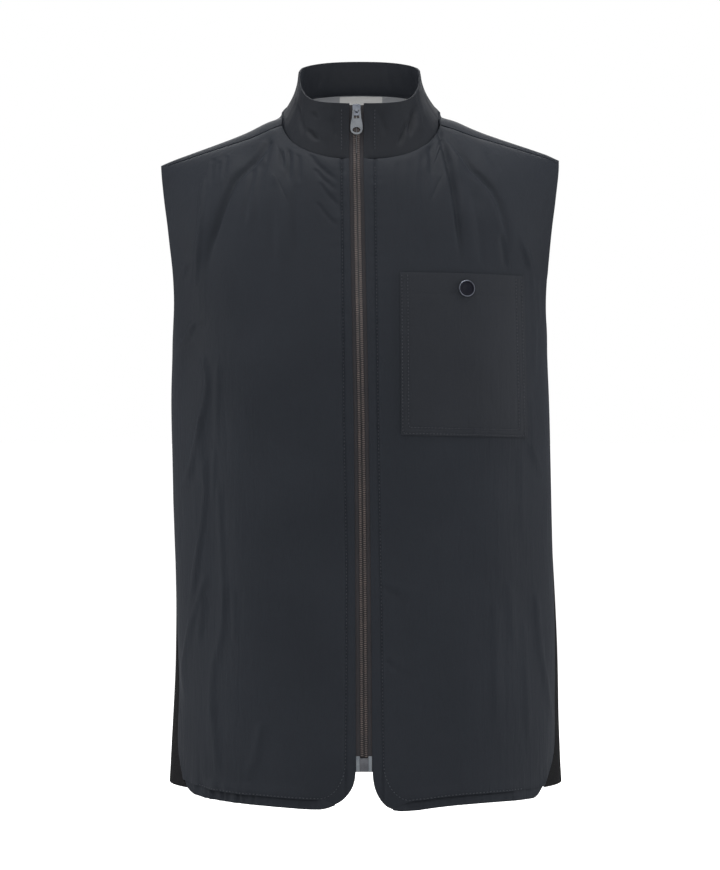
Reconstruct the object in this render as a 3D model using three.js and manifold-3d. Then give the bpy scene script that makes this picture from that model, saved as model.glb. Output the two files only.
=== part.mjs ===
// A sleeveless zip vest with a stand collar, filled out as it is worn.
// Millimetres, +Z up, the front faces -Y. The origin lies midway between the two points where the
// collar meets the shoulders. Side -1 is the wearer's right (-X), side +1 the wearer's left (+X).

import * as THREE from "three";
import Module from "manifold-3d";
import { mergeVertices } from "three/addons/utils/BufferGeometryUtils.js";

const wasm = await Module();
wasm.setup();

// Driving dimensions

const SEAM_GAP = 0.3;
const RIGHT = -1;
const LEFT = 1;
const SQUARENESS = 2.5;
const POWER = 2 / SQUARENESS;
const ASPECT = 0.65;

const PADDED_WALL = 2.8;
const EDGE_WALL = 1.6;
const KNIT_WALL = 1.4;
const COLLAR_WALL = 2.0;
const POCKET_WALL = 1.2;
const LINING_WALL = 1.0;
const LABEL_WALL = 0.6;
const BAND_WALL = 2.2;
const PUFF = 2.4;
const PUFF_REACH = 16;
const WALL_REACH = 20;
const PLACKET = 10;

// Half widths on each side and depths in front and behind, at heights up the body
const SECTIONS = [
  { z: -720, right: 199, left: 208, front: 131, back: 131 },
  { z: -673, right: 196.5, left: 206, front: 129, back: 129 },
  { z: -624, right: 193.6, left: 203.4, front: 126, back: 125 },
  { z: -562, right: 190.6, left: 202.4, front: 124, back: 119 },
  { z: -500, right: 189.8, left: 199.8, front: 122, back: 113 },
  { z: -438, right: 191.6, left: 196.6, front: 122, back: 109 },
  { z: -356, right: 193.6, left: 194.6, front: 126, back: 113 },
  { z: -294, right: 194.6, left: 192.8, front: 129, back: 121 },
  { z: -247, right: 193.4, left: 191, front: 130, back: 129 },
  { z: -211, right: 195.2, left: 193.2, front: 128, back: 132 },
  { z: -170, right: 200.5, left: 199, front: 123, back: 131 },
  { z: -129, right: 204.5, left: 202, front: 116, back: 126 },
  { z: -88, right: 206, left: 203.5, front: 107, back: 117 },
  { z: -50, right: 208, left: 206, front: 99, back: 107 },
  { z: 0, right: 209, left: 207, front: 92, back: 98 },
  { z: 60, right: 210, left: 208, front: 90, back: 92 },
];

// How far round from centre front or back, in degrees, each panel's outer edge lies: the armhole
// above the underarm and the seam to the knit side panel below it
const FRONT_EDGE = [
  { z: -705, right: 50, left: 50 },
  { z: -692, right: 55, left: 55 },
  { z: -680, right: 61, left: 62 },
  { z: -662, right: 68, left: 70 },
  { z: -640, right: 70.5, left: 73 },
  { z: -590, right: 72, left: 74 },
  { z: -540, right: 80, left: 76 },
  { z: -480, right: 84, left: 79 },
  { z: -430, right: 86, left: 85 },
  { z: -300, right: 87, left: 87 },
  { z: -246, right: 87.5, left: 87.5 },
  { z: -236, right: 85, left: 85 },
  { z: -218, right: 78, left: 78 },
  { z: -195, right: 72.5, left: 72.5 },
  { z: -165, right: 69.5, left: 69.5 },
  { z: -125, right: 71, left: 71 },
  { z: -88, right: 77, left: 77 },
  { z: -50, right: 82, left: 82 },
  { z: 0, right: 83, left: 83 },
];
const BACK_EDGE = [
  { z: -705, share: 68 },
  { z: -500, share: 70 },
  { z: -300, share: 71 },
  { z: -224, share: 70.5 },
  { z: -195, share: 68 },
  { z: -160, share: 67 },
  { z: -120, share: 70 },
  { z: -85, share: 76 },
  { z: -50, share: 82 },
  { z: 0, share: 83 },
];

// Where the search for a point's height starts, how often it is repeated, how far a panel may lean
// at its top edge, and over what length the shoulder seam runs in to the corner of the neck
const FIRST_GUESS = { foot: -690, top: -60 };
const PASSES = 8;
const FULLEST_LEAN = 0.985;
const SEAM_JOIN = 12;

// The line of the shoulders, by distance from the middle
const RIDGE = [
  { x: 0, right: 27, left: 27 },
  { x: 40, right: 20, left: 20 },
  { x: 70, right: 4, left: 4 },
  { x: 80, right: 0, left: 0 },
  { x: 88, right: -3, left: -3 },
  { x: 96, right: -8.5, left: -7 },
  { x: 111, right: -18, left: -15.5 },
  { x: 130, right: -26, left: -22.8 },
  { x: 160, right: -37, left: -32.8 },
  { x: 190, right: -47.5, left: -42.4 },
  { x: 210, right: -54, left: -49.5 },
];
const BACK_NECK_RISE = { height: 36, from: 25, reach: 150 };
const BACK_NECK_LEAN = 0.82;
const SHOULDER_DROP = [
  { x: 0, z: 112 },
  { x: 80, z: 110 },
  { x: 210, z: 86 },
];
// How far forward of the ridge the shoulder seam lies, as an angle over the rounded shoulder
const SEAM_LEAN = [
  { x: 78, z: 15 },
  { x: 96, z: 24 },
  { x: 130, z: 20 },
  { x: 210, z: 14 },
];
const SHOULDER_TIP = { right: 205.5, left: 203.5 };

// The neck seam: half width, reach in front and behind, and its height by depth
const NECK = { half: 82, front: 93, back: 66, frontPower: 0.68, backPower: 0.9 };
const NECK_HEIGHT = [
  { x: -93, z: -53.5 },
  { x: -85, z: -46.5 },
  { x: -74, z: -39 },
  { x: -57, z: -29 },
  { x: -40, z: -19 },
  { x: -22, z: -9 },
  { x: 0, z: 0.5 },
  { x: 30, z: 13 },
  { x: 50, z: 23 },
  { x: 66, z: 29 },
];
const SEAM_CORNER_TURN = 79;
const NECK_SHARE = 0.34;
const NECK_EASE = 1.15;
// How late, going up a panel, its columns draw over to their places on the top edge, and how much
// sooner those of the back do it near the neck
const TOP_SNAP = 7;
const BACK_DRAW = { late: 3, over: 0.4 };

// The top edge of the stand collar
const COLLAR = { half: 63.5, front: 81, back: 49, power: 0.68, backPower: 0.85, shift: -1.5 };
const COLLAR_HEIGHT = [
  { x: -81, z: 2.6 },
  { x: -70, z: 6 },
  { x: -60, z: 10.5 },
  { x: -30, z: 27 },
  { x: 0, z: 43.5 },
  { x: 28, z: 53.4 },
  { x: 49, z: 60.6 },
];
const COLLAR_FLARE = 2.4;

// The zip: its middle line, which wanders a little, and half the gap between the fronts
const ZIP_LINE = [
  { z: -720, x: 3.2, gap: 8.2 },
  { z: -642, x: 3, gap: 8.1 },
  { z: -430, x: 1.6, gap: 7.7 },
  { z: -325, x: 0.4, gap: 7.5 },
  { z: -236, x: -1.2, gap: 7.5 },
  { z: -120, x: -3.4, gap: 7.2 },
  { z: -45, x: -4.6, gap: 7.1 },
  { z: 10, x: -4.4, gap: 7.1 },
];

// The hem: where the fronts end at the zip, their rounded corners, and the line beyond them
const ZIP_END = -663;
const HEM = {
  right: { corner: 40, foot: -700 },
  left: { corner: 27, foot: -701.5 },
};
const HEM_RISE = [
  { x: 0, right: 0, left: 0 },
  { x: 50, right: 0.3, left: 0.5 },
  { x: 70, right: 1.4, left: 2.8 },
  { x: 90, right: 2.6, left: 4.8 },
  { x: 125, right: 4.8, left: 6.6 },
  { x: 160, right: 8.4, left: 7.4 },
  { x: 180, right: 14, left: 8.6 },
  { x: 200, right: 17, left: 11 },
];
const SIDE_HEM = -684;
const BACK_HEM = -692;
const BAND_HEIGHT = 9.6;
const BAND_START = { right: 22.8, left: 28.8 };
const BAND_TAPER = 18;
const GATHERS = { from: -178, to: -98, pitch: 7.5, depth: 0.55 };

// Soft folds on the fronts: from and to (x, z), half width, depth (minus is a trough)
const FOLD_END = 14;
const FOLD_CALM = { outer: 12, top: 14 };
const FOLDS = [
  { side: RIGHT, x0: -100, z0: -40, x1: -113, z1: -58, width: 7, depth: -2.2 },
  { side: RIGHT, x0: -113, z0: -58, x1: -158, z1: -160, width: 9, depth: -3 },
  { side: RIGHT, x0: -128, z0: -60, x1: -168, z1: -150, width: 14, depth: 2.6 },
  { side: RIGHT, x0: -160, z0: -130, x1: -164, z1: -190, width: 7, depth: 2.2 },
  { side: RIGHT, x0: -96, z0: -62, x1: -92, z1: -150, width: 6, depth: -1.6 },
  { side: RIGHT, x0: -82, z0: -58, x1: -84, z1: -165, width: 6, depth: 1.6 },
  { side: RIGHT, x0: -69, z0: -64, x1: -68, z1: -140, width: 6, depth: -1.5 },
  { side: RIGHT, x0: -34, z0: -72, x1: -19, z1: -88, width: 5, depth: -1.8 },
  { side: RIGHT, x0: -32, z0: -92, x1: -18, z1: -104, width: 5, depth: -1.5 },
  { side: RIGHT, x0: -152, z0: -282, x1: -170, z1: -356, width: 9, depth: 2.6 },
  { side: RIGHT, x0: -170, z0: -356, x1: -182, z1: -388, width: 8, depth: 2.2 },
  { side: RIGHT, x0: -140, z0: -300, x1: -160, z1: -420, width: 12, depth: -2 },
  { side: RIGHT, x0: -155, z0: -365, x1: -168, z1: -500, width: 10, depth: 2.2 },
  { side: RIGHT, x0: -166, z0: -410, x1: -176, z1: -575, width: 9, depth: 2.4 },
  { side: RIGHT, x0: -146, z0: -390, x1: -148, z1: -520, width: 11, depth: -1.8 },
  { side: LEFT, x0: 79, z0: -26, x1: 92, z1: -84, width: 7, depth: -2.8 },
  { side: LEFT, x0: 92, z0: -84, x1: 93, z1: -120, width: 7, depth: -1.8 },
  { side: LEFT, x0: 103, z0: -34, x1: 122, z1: -94, width: 8, depth: -2.6 },
  { side: LEFT, x0: 122, z0: -94, x1: 142, z1: -160, width: 10, depth: -2.2 },
  { side: LEFT, x0: 90, z0: -40, x1: 108, z1: -110, width: 8, depth: 2 },
  { side: LEFT, x0: 118, z0: -42, x1: 146, z1: -130, width: 10, depth: 2.2 },
  { side: LEFT, x0: 67, z0: -46, x1: 70, z1: -68, width: 5, depth: -1.6 },
  { side: LEFT, x0: 172, z0: -140, x1: 176, z1: -370, width: 9, depth: 2.4 },
  { side: LEFT, x0: 160, z0: -380, x1: 166, z1: -560, width: 10, depth: -1.8 },
  { side: LEFT, x0: 176, z0: -400, x1: 178, z1: -640, width: 9, depth: 2 },
  { side: LEFT, x0: 20, z0: -484, x1: 38, z1: -496, width: 5, depth: -1.4 },
];

// The chest pocket's corners on the wearer's left front, (x, z)
const POCKET = {
  top: { left: 38.5, right: 162, z: -169.5, zRight: -171 },
  bottom: { left: 39.5, right: 165.5, z: -330, zRight: -332.5 },
  fullness: 1.4,
};
const SNAP = { x: 103.4, z: -184.5, radius: 8.3, rise: 2.1, dish: 0.7, rim: 1.7 };

const TAPE = { half: 11, wall: 0.8, sunk: 0.5 };
const COIL = { half: 3.4, wall: 1.5 };
const SLIDER = { z: -4.6, half: 4.1, up: 6.2, down: 5.2, plate: 1.4 };
const BRIDGE = { half: 1.15, up: 6.2, down: 2.3, height: 3.8, wall: 0.9 };
const PULL = {
  length: 25.4,
  top: 4.1,
  foot: 6.1,
  wall: 1.5,
  bar: 0.55,
  windowHalf: 2.7,
  window: 8.6,
  hole: { x: 4, z: 2.8, drop: 20.2 },
  swell: { down: 4, out: 0.6 },
  round: { high: 0.42, wide: 0.6 },
};
const PULL_REST = 4;
const ZIP_BOX = { half: 4, height: 15, wall: 3.4 };
const FILM = { height: 15, wall: 0.4 };

const LABEL = { half: 22.4, drop: 34 };
const LINING = { across: 0.235, drop: 66 };

// The grid of the panels, as shares of a panel's breadth and height
const SHOULDER_COLUMNS = [0.34, 0.405, 0.47, 0.535, 0.6, 0.665, 0.73, 0.795, 0.86, 0.93, 1];
const FRONT_COLUMNS = [
  0, 0.006, 0.016, 0.032, 0.055, 0.085, 0.12, 0.165, 0.215, 0.275, ...SHOULDER_COLUMNS,
];
const BACK_COLUMNS = [0, 0.06, 0.12, 0.18, 0.235, 0.29, ...SHOULDER_COLUMNS];
const ROWS = 34;
const ROW_EASE = 1.35;
const SIDE_TOP_ROW = 18;

// Helpers

const radians = THREE.MathUtils.degToRad;
const lerp = THREE.MathUtils.lerp;
const clamp = THREE.MathUtils.clamp;
const sideName = (side) => (side === RIGHT ? "right" : "left");
const raised = (value, power) => Math.pow(Math.max(value, 0), power);

function soft(value) {
  const t = clamp(value, 0, 1);
  return t * t * (3 - 2 * t);
}

// A smooth curve through the rows of a table, from one named column to another
function through(rows, key, column) {
  const n = rows.length;
  const at = rows.map((row) => row[key]);
  const to = rows.map((row) => row[column]);
  const slope = (i) => (to[i + 1] - to[i]) / (at[i + 1] - at[i]);
  const tangent = at.map((_, i) => {
    if (i === 0) return slope(0);
    if (i === n - 1) return slope(n - 2);
    const before = slope(i - 1);
    const after = slope(i);
    return before * after > 0 ? (2 * before * after) / (before + after) : 0;
  });
  return (value) => {
    if (value <= at[0]) return to[0];
    if (value >= at[n - 1]) return to[n - 1];
    let i = 0;
    while (at[i + 1] < value) i += 1;
    const h = at[i + 1] - at[i];
    const t = (value - at[i]) / h;
    const a = 1 + 2 * t;
    const b = (1 - t) * (1 - t);
    return (
      to[i] * a * b + tangent[i] * h * t * b +
      to[i + 1] * t * t * (3 - 2 * t) + tangent[i + 1] * h * t * t * (t - 1)
    );
  };
}

const halfWidth = {
  right: through(SECTIONS, "z", "right"),
  left: through(SECTIONS, "z", "left"),
};
const frontDepth = through(SECTIONS, "z", "front");
const backDepth = through(SECTIONS, "z", "back");
const frontEdge = {
  right: through(FRONT_EDGE, "z", "right"),
  left: through(FRONT_EDGE, "z", "left"),
};
const backEdge = through(BACK_EDGE, "z", "share");
const ridge = {
  right: through(RIDGE, "x", "right"),
  left: through(RIDGE, "x", "left"),
};
const shoulderDrop = through(SHOULDER_DROP, "x", "z");
const seamLean = through(SEAM_LEAN, "x", "z");
const neckHeight = through(NECK_HEIGHT, "x", "z");
const collarHeight = through(COLLAR_HEIGHT, "x", "z");
const zipMiddle = through(ZIP_LINE, "z", "x");
const zipGap = through(ZIP_LINE, "z", "gap");
const hemRise = {
  right: through(HEM_RISE, "x", "right"),
  left: through(HEM_RISE, "x", "left"),
};

// A quarter of a section, measured along its edge, so that columns are evenly spread
const ARC_STEPS = 240;
const arcLengths = [0];
for (let i = 1; i <= ARC_STEPS; i += 1) {
  const [a, b] = [i - 1, i].map((k) => {
    const turn = (k / ARC_STEPS) * (Math.PI / 2);
    return [
      raised(Math.sin(turn), POWER),
      ASPECT * raised(Math.cos(turn), POWER),
    ];
  });
  arcLengths.push(arcLengths[i - 1] + Math.hypot(b[0] - a[0], b[1] - a[1]));
}
const arcTotal = arcLengths[ARC_STEPS];

function arcShare(turn) {
  const place = clamp(turn / (Math.PI / 2), 0, 1) * ARC_STEPS;
  const i = Math.min(Math.floor(place), ARC_STEPS - 1);
  return lerp(arcLengths[i], arcLengths[i + 1], place - i) / arcTotal;
}

function arcTurn(share) {
  const wanted = share * arcTotal;
  let i = 0;
  while (i < ARC_STEPS - 1 && arcLengths[i + 1] < wanted) i += 1;
  const t = (wanted - arcLengths[i]) / (arcLengths[i + 1] - arcLengths[i]);
  return ((i + t) / ARC_STEPS) * (Math.PI / 2);
}

// Where a front's edge lies beside the zip, as a distance from the middle of the body
function zipEdge(side, z, extra = 0) {
  return side * zipMiddle(z) + zipGap(z) + extra;
}

function turnAt(side, z, x) {
  const share = clamp(x / halfWidth[sideName(side)](z), 0, 1);
  return Math.asin(Math.min(Math.pow(share, 1 / POWER), 1));
}

// A point of the upright body, by how far round it lies: 0 is centre front, 180 centre back
function sectionPoint(side, degrees, z) {
  const turn = radians(degrees);
  const x = halfWidth[sideName(side)](z) * raised(Math.sin(turn), POWER);
  const reach = raised(Math.abs(Math.cos(turn)), POWER);
  const y = degrees < 90 ? -frontDepth(z) * reach : backDepth(z) * reach;
  return new THREE.Vector3(side * x, y, z);
}

// The neck seam, by how far round it lies
function neckPoint(side, degrees) {
  const turn = radians(degrees);
  const inFront = degrees < 90;
  const power = inFront ? NECK.frontPower : NECK.backPower;
  const x = NECK.half * raised(Math.sin(turn), power);
  const reach = raised(Math.abs(Math.cos(turn)), power);
  const y = inFront ? -NECK.front * reach : NECK.back * reach;
  return new THREE.Vector3(side * x, y, neckHeight(y));
}

function collarTop(side, degrees) {
  const turn = radians(degrees);
  const inFront = degrees < 90;
  const power = inFront ? COLLAR.power : COLLAR.backPower;
  const x = COLLAR.half * raised(Math.sin(turn), power);
  const reach = raised(Math.abs(Math.cos(turn)), power);
  const y = inFront ? -COLLAR.front * reach : COLLAR.back * reach;
  return new THREE.Vector3(side * x + COLLAR.shift * Math.abs(Math.sin(turn)), y, collarHeight(y));
}

// The forward shoulder seam at a distance from the middle
function shoulderSeamPoint(side, x) {
  const lean = radians(seamLean(x));
  const z = ridge[sideName(side)](x) - shoulderDrop(x) * (1 - Math.cos(lean));
  const turn = turnAt(side, z, x);
  const y = -frontDepth(z) * raised(Math.cos(turn), POWER) * Math.sin(lean);
  return new THREE.Vector3(side * x, y, z);
}

const cornerPoint = (side) => neckPoint(side, SEAM_CORNER_TURN);

function seamStart(side) {
  return Math.abs(cornerPoint(side).x);
}

// The top edge of a front or back: the neck seam, and from its corner outwards the shoulder seam
function topEdge(side, across, face) {
  if (across <= NECK_SHARE) {
    const share = across / NECK_SHARE;
    if (face > 0) return neckPoint(side, lerp(180, SEAM_CORNER_TURN, share));
    return neckPoint(side, lerp(neckStart(side), SEAM_CORNER_TURN, Math.pow(share, NECK_EASE)));
  }
  const share = (across - NECK_SHARE) / (1 - NECK_SHARE);
  const start = cornerPoint(side);
  const tip = SHOULDER_TIP[sideName(side)];
  const x = lerp(seamStart(side), tip, share);
  const point = shoulderSeamPoint(side, x);
  const join = Math.exp(-(x - seamStart(side)) / SEAM_JOIN);
  const first = shoulderSeamPoint(side, seamStart(side));
  return point.addScaledVector(start.clone().sub(first), join);
}

function hemLine(side, z, x) {
  const name = sideName(side);
  const { corner, foot } = HEM[name];
  const along = clamp((x - zipEdge(side, z)) / corner, 0, 1);
  const rounding = Math.sqrt(1 - (1 - along) * (1 - along));
  return lerp(ZIP_END, foot, rounding) + hemRise[name](x);
}

function bandHeight(side, x) {
  const start = BAND_START[sideName(side)];
  return BAND_HEIGHT * soft((x - start) / BAND_TAPER);
}

const FRONT = {
  face: -1,
  first: (side, z) => arcShare(turnAt(side, z, zipEdge(side, z))),
  edge: (side, z) => frontEdge[sideName(side)](z),
  bottom: (side, x) => {
    const band = bandHeight(side, x);
    return hemLine(side, ZIP_END, x) + (band > 0 ? band + SEAM_GAP : 0);
  },
  rise: () => 0,
};
const BACK = {
  face: 1,
  first: () => 0,
  edge: (side, z) => backEdge(z),
  bottom: (side, x) => lerp(BACK_HEM, SIDE_HEM, Math.pow(x / 190, 2)) + BAND_HEIGHT + SEAM_GAP,
  rise: (x) => {
    const { height, from, reach } = BACK_NECK_RISE;
    return height * (1 - soft((x - from) / reach));
  },
};

// The plain form of a panel before folds: upright up to the chest, then round over the shoulder
function plainPoint(panel, side, across, up, top) {
  let z = lerp(FIRST_GUESS.foot, FIRST_GUESS.top, up);
  let x = 0;
  let turn = 0;
  let lean = 0;
  const topReach = raised(Math.cos(turnAt(side, top.z, Math.abs(top.x))), POWER);
  const depthAtTop = top.y < 0 ? frontDepth(top.z) : backDepth(top.z);
  const topShare = clamp(Math.abs(top.y) / (depthAtTop * topReach), 0, FULLEST_LEAN);
  const topLean = Math.asin(topShare) * (Math.sign(top.y) === panel.face ? 1 : -1);
  for (let pass = 0; pass < PASSES; pass += 1) {
    const first = panel.first(side, z);
    const last = arcShare(radians(panel.edge(side, z)));
    turn = arcTurn(lerp(first, last, across));
    if (panel === BACK) {
      const near = 1 - soft((across - NECK_SHARE) / BACK_DRAW.over);
      turn = lerp(turn, turnAt(side, z, Math.abs(top.x)), near * Math.pow(up, BACK_DRAW.late));
    }
    x = halfWidth[sideName(side)](z) * raised(Math.sin(turn), POWER);
    const drop = shoulderDrop(x);
    const crest = ridge[sideName(side)](x);
    const rise = panel.rise(x);
    const bottom = panel.bottom(side, x);
    const upright = crest + rise - drop - bottom;
    const run = up * (upright + drop * (Math.PI / 2 - topLean));
    lean = Math.PI / 2 - Math.max(0, run - upright) / drop;
    const curved = crest - drop * (1 - Math.cos(lean)) + rise * soft(lean / BACK_NECK_LEAN);
    z = run < upright ? bottom + run : curved;
  }
  const depth = panel.face * lean > 0 ? backDepth(z) : frontDepth(z);
  const y = panel.face * depth * raised(Math.cos(turn), POWER) * Math.sin(lean);
  return new THREE.Vector3(side * x, y, z);
}

function basePoint(panel, side, across, up) {
  const top = topEdge(side, clamp(across, 0, 1), panel.face);
  const point = plainPoint(panel, side, across, up, top);
  const reached = plainPoint(panel, side, across, 1, top);
  const edge = top.clone();
  if (panel === BACK && across >= NECK_SHARE) edge.y += 2 * SEAM_GAP;
  if (panel === FRONT || across <= NECK_SHARE) edge.z -= SEAM_GAP / 2;
  return point.addScaledVector(edge.sub(reached), Math.pow(clamp(up, 0, 1), TOP_SNAP));
}

function foldAt(side, x, z) {
  let sum = 0;
  for (const fold of FOLDS) {
    if (fold.side !== side) continue;
    const dx = fold.x1 - fold.x0;
    const dz = fold.z1 - fold.z0;
    const length = Math.hypot(dx, dz);
    const along = ((x - fold.x0) * dx + (z - fold.z0) * dz) / (length * length);
    const off = ((x - fold.x0) * dz - (z - fold.z0) * dx) / length;
    const past = Math.max(0, -along, along - 1) * length;
    sum += fold.depth * Math.exp(-Math.pow(off / fold.width, 2) - Math.pow(past / FOLD_END, 2));
  }
  return sum;
}

// How far the padding stands out, by the distance from the nearest seam
function puffAt(distance) {
  return PUFF * (1 - Math.exp(-Math.max(0, distance) / PUFF_REACH));
}

// A panel's outer point and its outward direction
function panelPoint(panel, side, across, up) {
  const step = 0.004;
  const at = basePoint(panel, side, across, up);
  const a = basePoint(panel, side, Math.max(across - step, 0), up);
  const b = basePoint(panel, side, Math.min(across + step, 1), up);
  const c = basePoint(panel, side, across, Math.max(up - step, 0));
  const d = basePoint(panel, side, across, Math.min(up + step, 1));
  const out = b.sub(a).cross(d.sub(c)).normalize();
  if (panel.face * side > 0) out.negate();
  if (up === 1) out.setZ(Math.max(out.z, 0.12)).normalize();
  return { at, out };
}

// Between a front or back panel's own edges, distances in millimetres
function edgeDistance(panel, side, across, up) {
  const at = basePoint(panel, side, across, up);
  const top = basePoint(panel, side, across, 1).distanceTo(at);
  const outer = basePoint(panel, side, 1, up).distanceTo(at);
  const inner = panel === FRONT ? basePoint(panel, side, 0, up).distanceTo(at) : 999;
  return { top, outer, inner, foot: at.z - panel.bottom(side, Math.abs(at.x)) };
}

function frontPoint(side, across, up) {
  const { at, out } = panelPoint(FRONT, side, across, up);
  const gap = edgeDistance(FRONT, side, across, up);
  const nearest = Math.min(gap.top, gap.outer, Math.max(0, gap.inner - PLACKET), gap.foot);
  const calmEdges = soft(gap.outer / FOLD_CALM.outer) * soft(gap.top / FOLD_CALM.top);
  const calm = soft(gap.inner / (2 * PLACKET)) * calmEdges;
  const lift = puffAt(nearest) + foldAt(side, at.x, at.z) * calm;
  const wall = lerp(EDGE_WALL, PADDED_WALL, soft(nearest / WALL_REACH));
  return { at: at.addScaledVector(out, lift), out, wall };
}

function backPoint(side, across, up) {
  const { at, out } = panelPoint(BACK, side, across, up);
  const gap = edgeDistance(BACK, side, across, up);
  const nearest = Math.min(gap.top, gap.outer, gap.foot);
  const wall = lerp(EDGE_WALL, PADDED_WALL, soft(nearest / WALL_REACH));
  return { at: at.addScaledVector(out, puffAt(nearest)), out, wall };
}

// Solids

// A wall from a grid of outer points: each entry has its place, its outward direction and its wall
function wallGeometry(grid) {
  const rows = grid.length;
  const columns = grid[0].length;
  const positions = [];
  const outer = (r, c) => r * columns + c;
  const inner = (r, c) => rows * columns + r * columns + c;
  for (const row of grid) for (const p of row) positions.push(p.at.x, p.at.y, p.at.z);
  for (const row of grid) {
    for (const p of row) {
      const q = p.at.clone().addScaledVector(p.out, -p.wall);
      positions.push(q.x, q.y, q.z);
    }
  }
  const index = [];
  const quad = (a, b, c, d) => index.push(a, b, c, a, c, d);
  for (let r = 0; r < rows - 1; r += 1) {
    for (let c = 0; c < columns - 1; c += 1) {
      quad(outer(r, c), outer(r, c + 1), outer(r + 1, c + 1), outer(r + 1, c));
      quad(inner(r, c), inner(r + 1, c), inner(r + 1, c + 1), inner(r, c + 1));
    }
  }
  for (let c = 0; c < columns - 1; c += 1) {
    quad(outer(0, c + 1), outer(0, c), inner(0, c), inner(0, c + 1));
    quad(outer(rows - 1, c), outer(rows - 1, c + 1), inner(rows - 1, c + 1), inner(rows - 1, c));
  }
  for (let r = 0; r < rows - 1; r += 1) {
    quad(outer(r, 0), outer(r + 1, 0), inner(r + 1, 0), inner(r, 0));
    quad(outer(r + 1, columns - 1), outer(r, columns - 1), inner(r, columns - 1), inner(r + 1, columns - 1));
  }
  const geometry = new THREE.BufferGeometry();
  geometry.setAttribute("position", new THREE.Float32BufferAttribute(positions, 3));
  geometry.setIndex(index);
  return facingOut(geometry);
}

function signedVolume(geometry) {
  const p = geometry.getAttribute("position");
  const index = geometry.getIndex().array;
  const [a, b, c] = [new THREE.Vector3(), new THREE.Vector3(), new THREE.Vector3()];
  let sum = 0;
  for (let i = 0; i < index.length; i += 3) {
    a.fromBufferAttribute(p, index[i]);
    b.fromBufferAttribute(p, index[i + 1]);
    c.fromBufferAttribute(p, index[i + 2]);
    sum += a.dot(b.cross(c)) / 6;
  }
  return sum;
}

function facingOut(geometry) {
  if (signedVolume(geometry) > 0) return geometry;
  const index = geometry.getIndex().array;
  for (let i = 0; i < index.length; i += 3) {
    const kept = index[i + 1];
    index[i + 1] = index[i + 2];
    index[i + 2] = kept;
  }
  return geometry;
}

function solidOf(geometry) {
  const bare = new THREE.BufferGeometry();
  bare.setAttribute("position", geometry.getAttribute("position"));
  if (geometry.getIndex()) bare.setIndex(geometry.getIndex());
  const merged = mergeVertices(bare, 1e-4);
  return new wasm.Manifold(
    new wasm.Mesh({
      numProp: 3,
      vertProperties: new Float32Array(merged.getAttribute("position").array),
      triVerts: new Uint32Array(merged.getIndex().array),
    }),
  );
}

function geometryOf(solid) {
  const mesh = solid.getMesh();
  const geometry = new THREE.BufferGeometry();
  geometry.setAttribute("position", new THREE.BufferAttribute(new Float32Array(mesh.vertProperties), 3));
  geometry.setIndex(new THREE.BufferAttribute(new Uint32Array(mesh.triVerts), 1));
  return geometry;
}

function finish(color, roughness, metalness = 0) {
  return new THREE.MeshStandardMaterial({ color, roughness, metalness });
}

const SHELL = finish(0x2d3035, 0.62);
const KNIT = finish(0x232325, 0.92);
const LINING_CLOTH = finish(0x54565a, 0.75);
const LABEL_CLOTH = finish(0x868685, 0.8);
const TAPE_CLOTH = finish(0x37363a, 0.85);
const COIL_PLASTIC = finish(0x352f30, 0.5);
const METAL = finish(0xa8abb0, 0.35, 0.9);
const ENAMEL = finish(0x1a1c2b, 0.25, 0.3);
const FILM_PLASTIC = finish(0x5c5e63, 0.35);

const vest = new THREE.Group();

function add(name, geometry, material, parent = vest) {
  const mesh = new THREE.Mesh(geometry, material);
  mesh.name = name;
  parent.add(mesh);
  return mesh;
}

function spaced(count, ease = 1) {
  return Array.from({ length: count + 1 }, (_, i) => 1 - Math.pow(1 - i / count, ease));
}

// Front and back panels

function frontPanel(side) {
  const grid = spaced(ROWS, ROW_EASE).map((up) =>
    FRONT_COLUMNS.map((across) => frontPoint(side, across, up)),
  );
  return wallGeometry(grid);
}

const backColumns = [
  ...BACK_COLUMNS.slice(1).reverse().map((across) => ({ side: RIGHT, across })),
  ...BACK_COLUMNS.map((across) => ({ side: LEFT, across })),
];

function backPanel() {
  const grid = spaced(ROWS, ROW_EASE).map((up) =>
    backColumns.map(({ side, across }) => backPoint(side, across, up)),
  );
  return wallGeometry(grid);
}

// The knit panel under each arm, from the front's seam round to the back's

const SIDE_COLUMNS = 7;
const BAND_END_GAP = 0.25;
const ARMHOLE_DIP = 3;

function sideOutward(side, degrees, z) {
  const around = sectionPoint(side, degrees + 1, z).sub(sectionPoint(side, degrees - 1, z));
  const upward = sectionPoint(side, degrees, z + 4).sub(sectionPoint(side, degrees, z - 4));
  const out = around.cross(upward).normalize();
  return out.x * side < 0 ? out.negate() : out;
}

function sidePanel(side) {
  const levels = spaced(ROWS, ROW_EASE)
    .slice(0, SIDE_TOP_ROW + 1)
    .map((up) => ({
      front: basePoint(FRONT, side, 1, up).z,
      back: basePoint(BACK, side, 1, up).z,
    }));
  levels.unshift({ front: SIDE_HEM, back: SIDE_HEM });
  const grid = levels.map((level, row) =>
    spaced(SIDE_COLUMNS).map((across) => {
      const dip = row === levels.length - 1 ? ARMHOLE_DIP * Math.sin(Math.PI * across) : 0;
      const z = lerp(level.front, level.back, across) - dip;
      const gap = (SEAM_GAP / frontDepth(z)) * (180 / Math.PI);
      const from = FRONT.edge(side, z) + gap;
      const to = 180 - BACK.edge(side, z) - gap;
      const degrees = lerp(from, to, across);
      return {
        at: sectionPoint(side, degrees, z),
        out: sideOutward(side, degrees, z),
        wall: KNIT_WALL,
      };
    }),
  );
  return wallGeometry(grid);
}

// The turned hems along the lower edges of the fronts and back

const BAND_ROWS = 2;
const BAND_PLEATS = 3;

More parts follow.
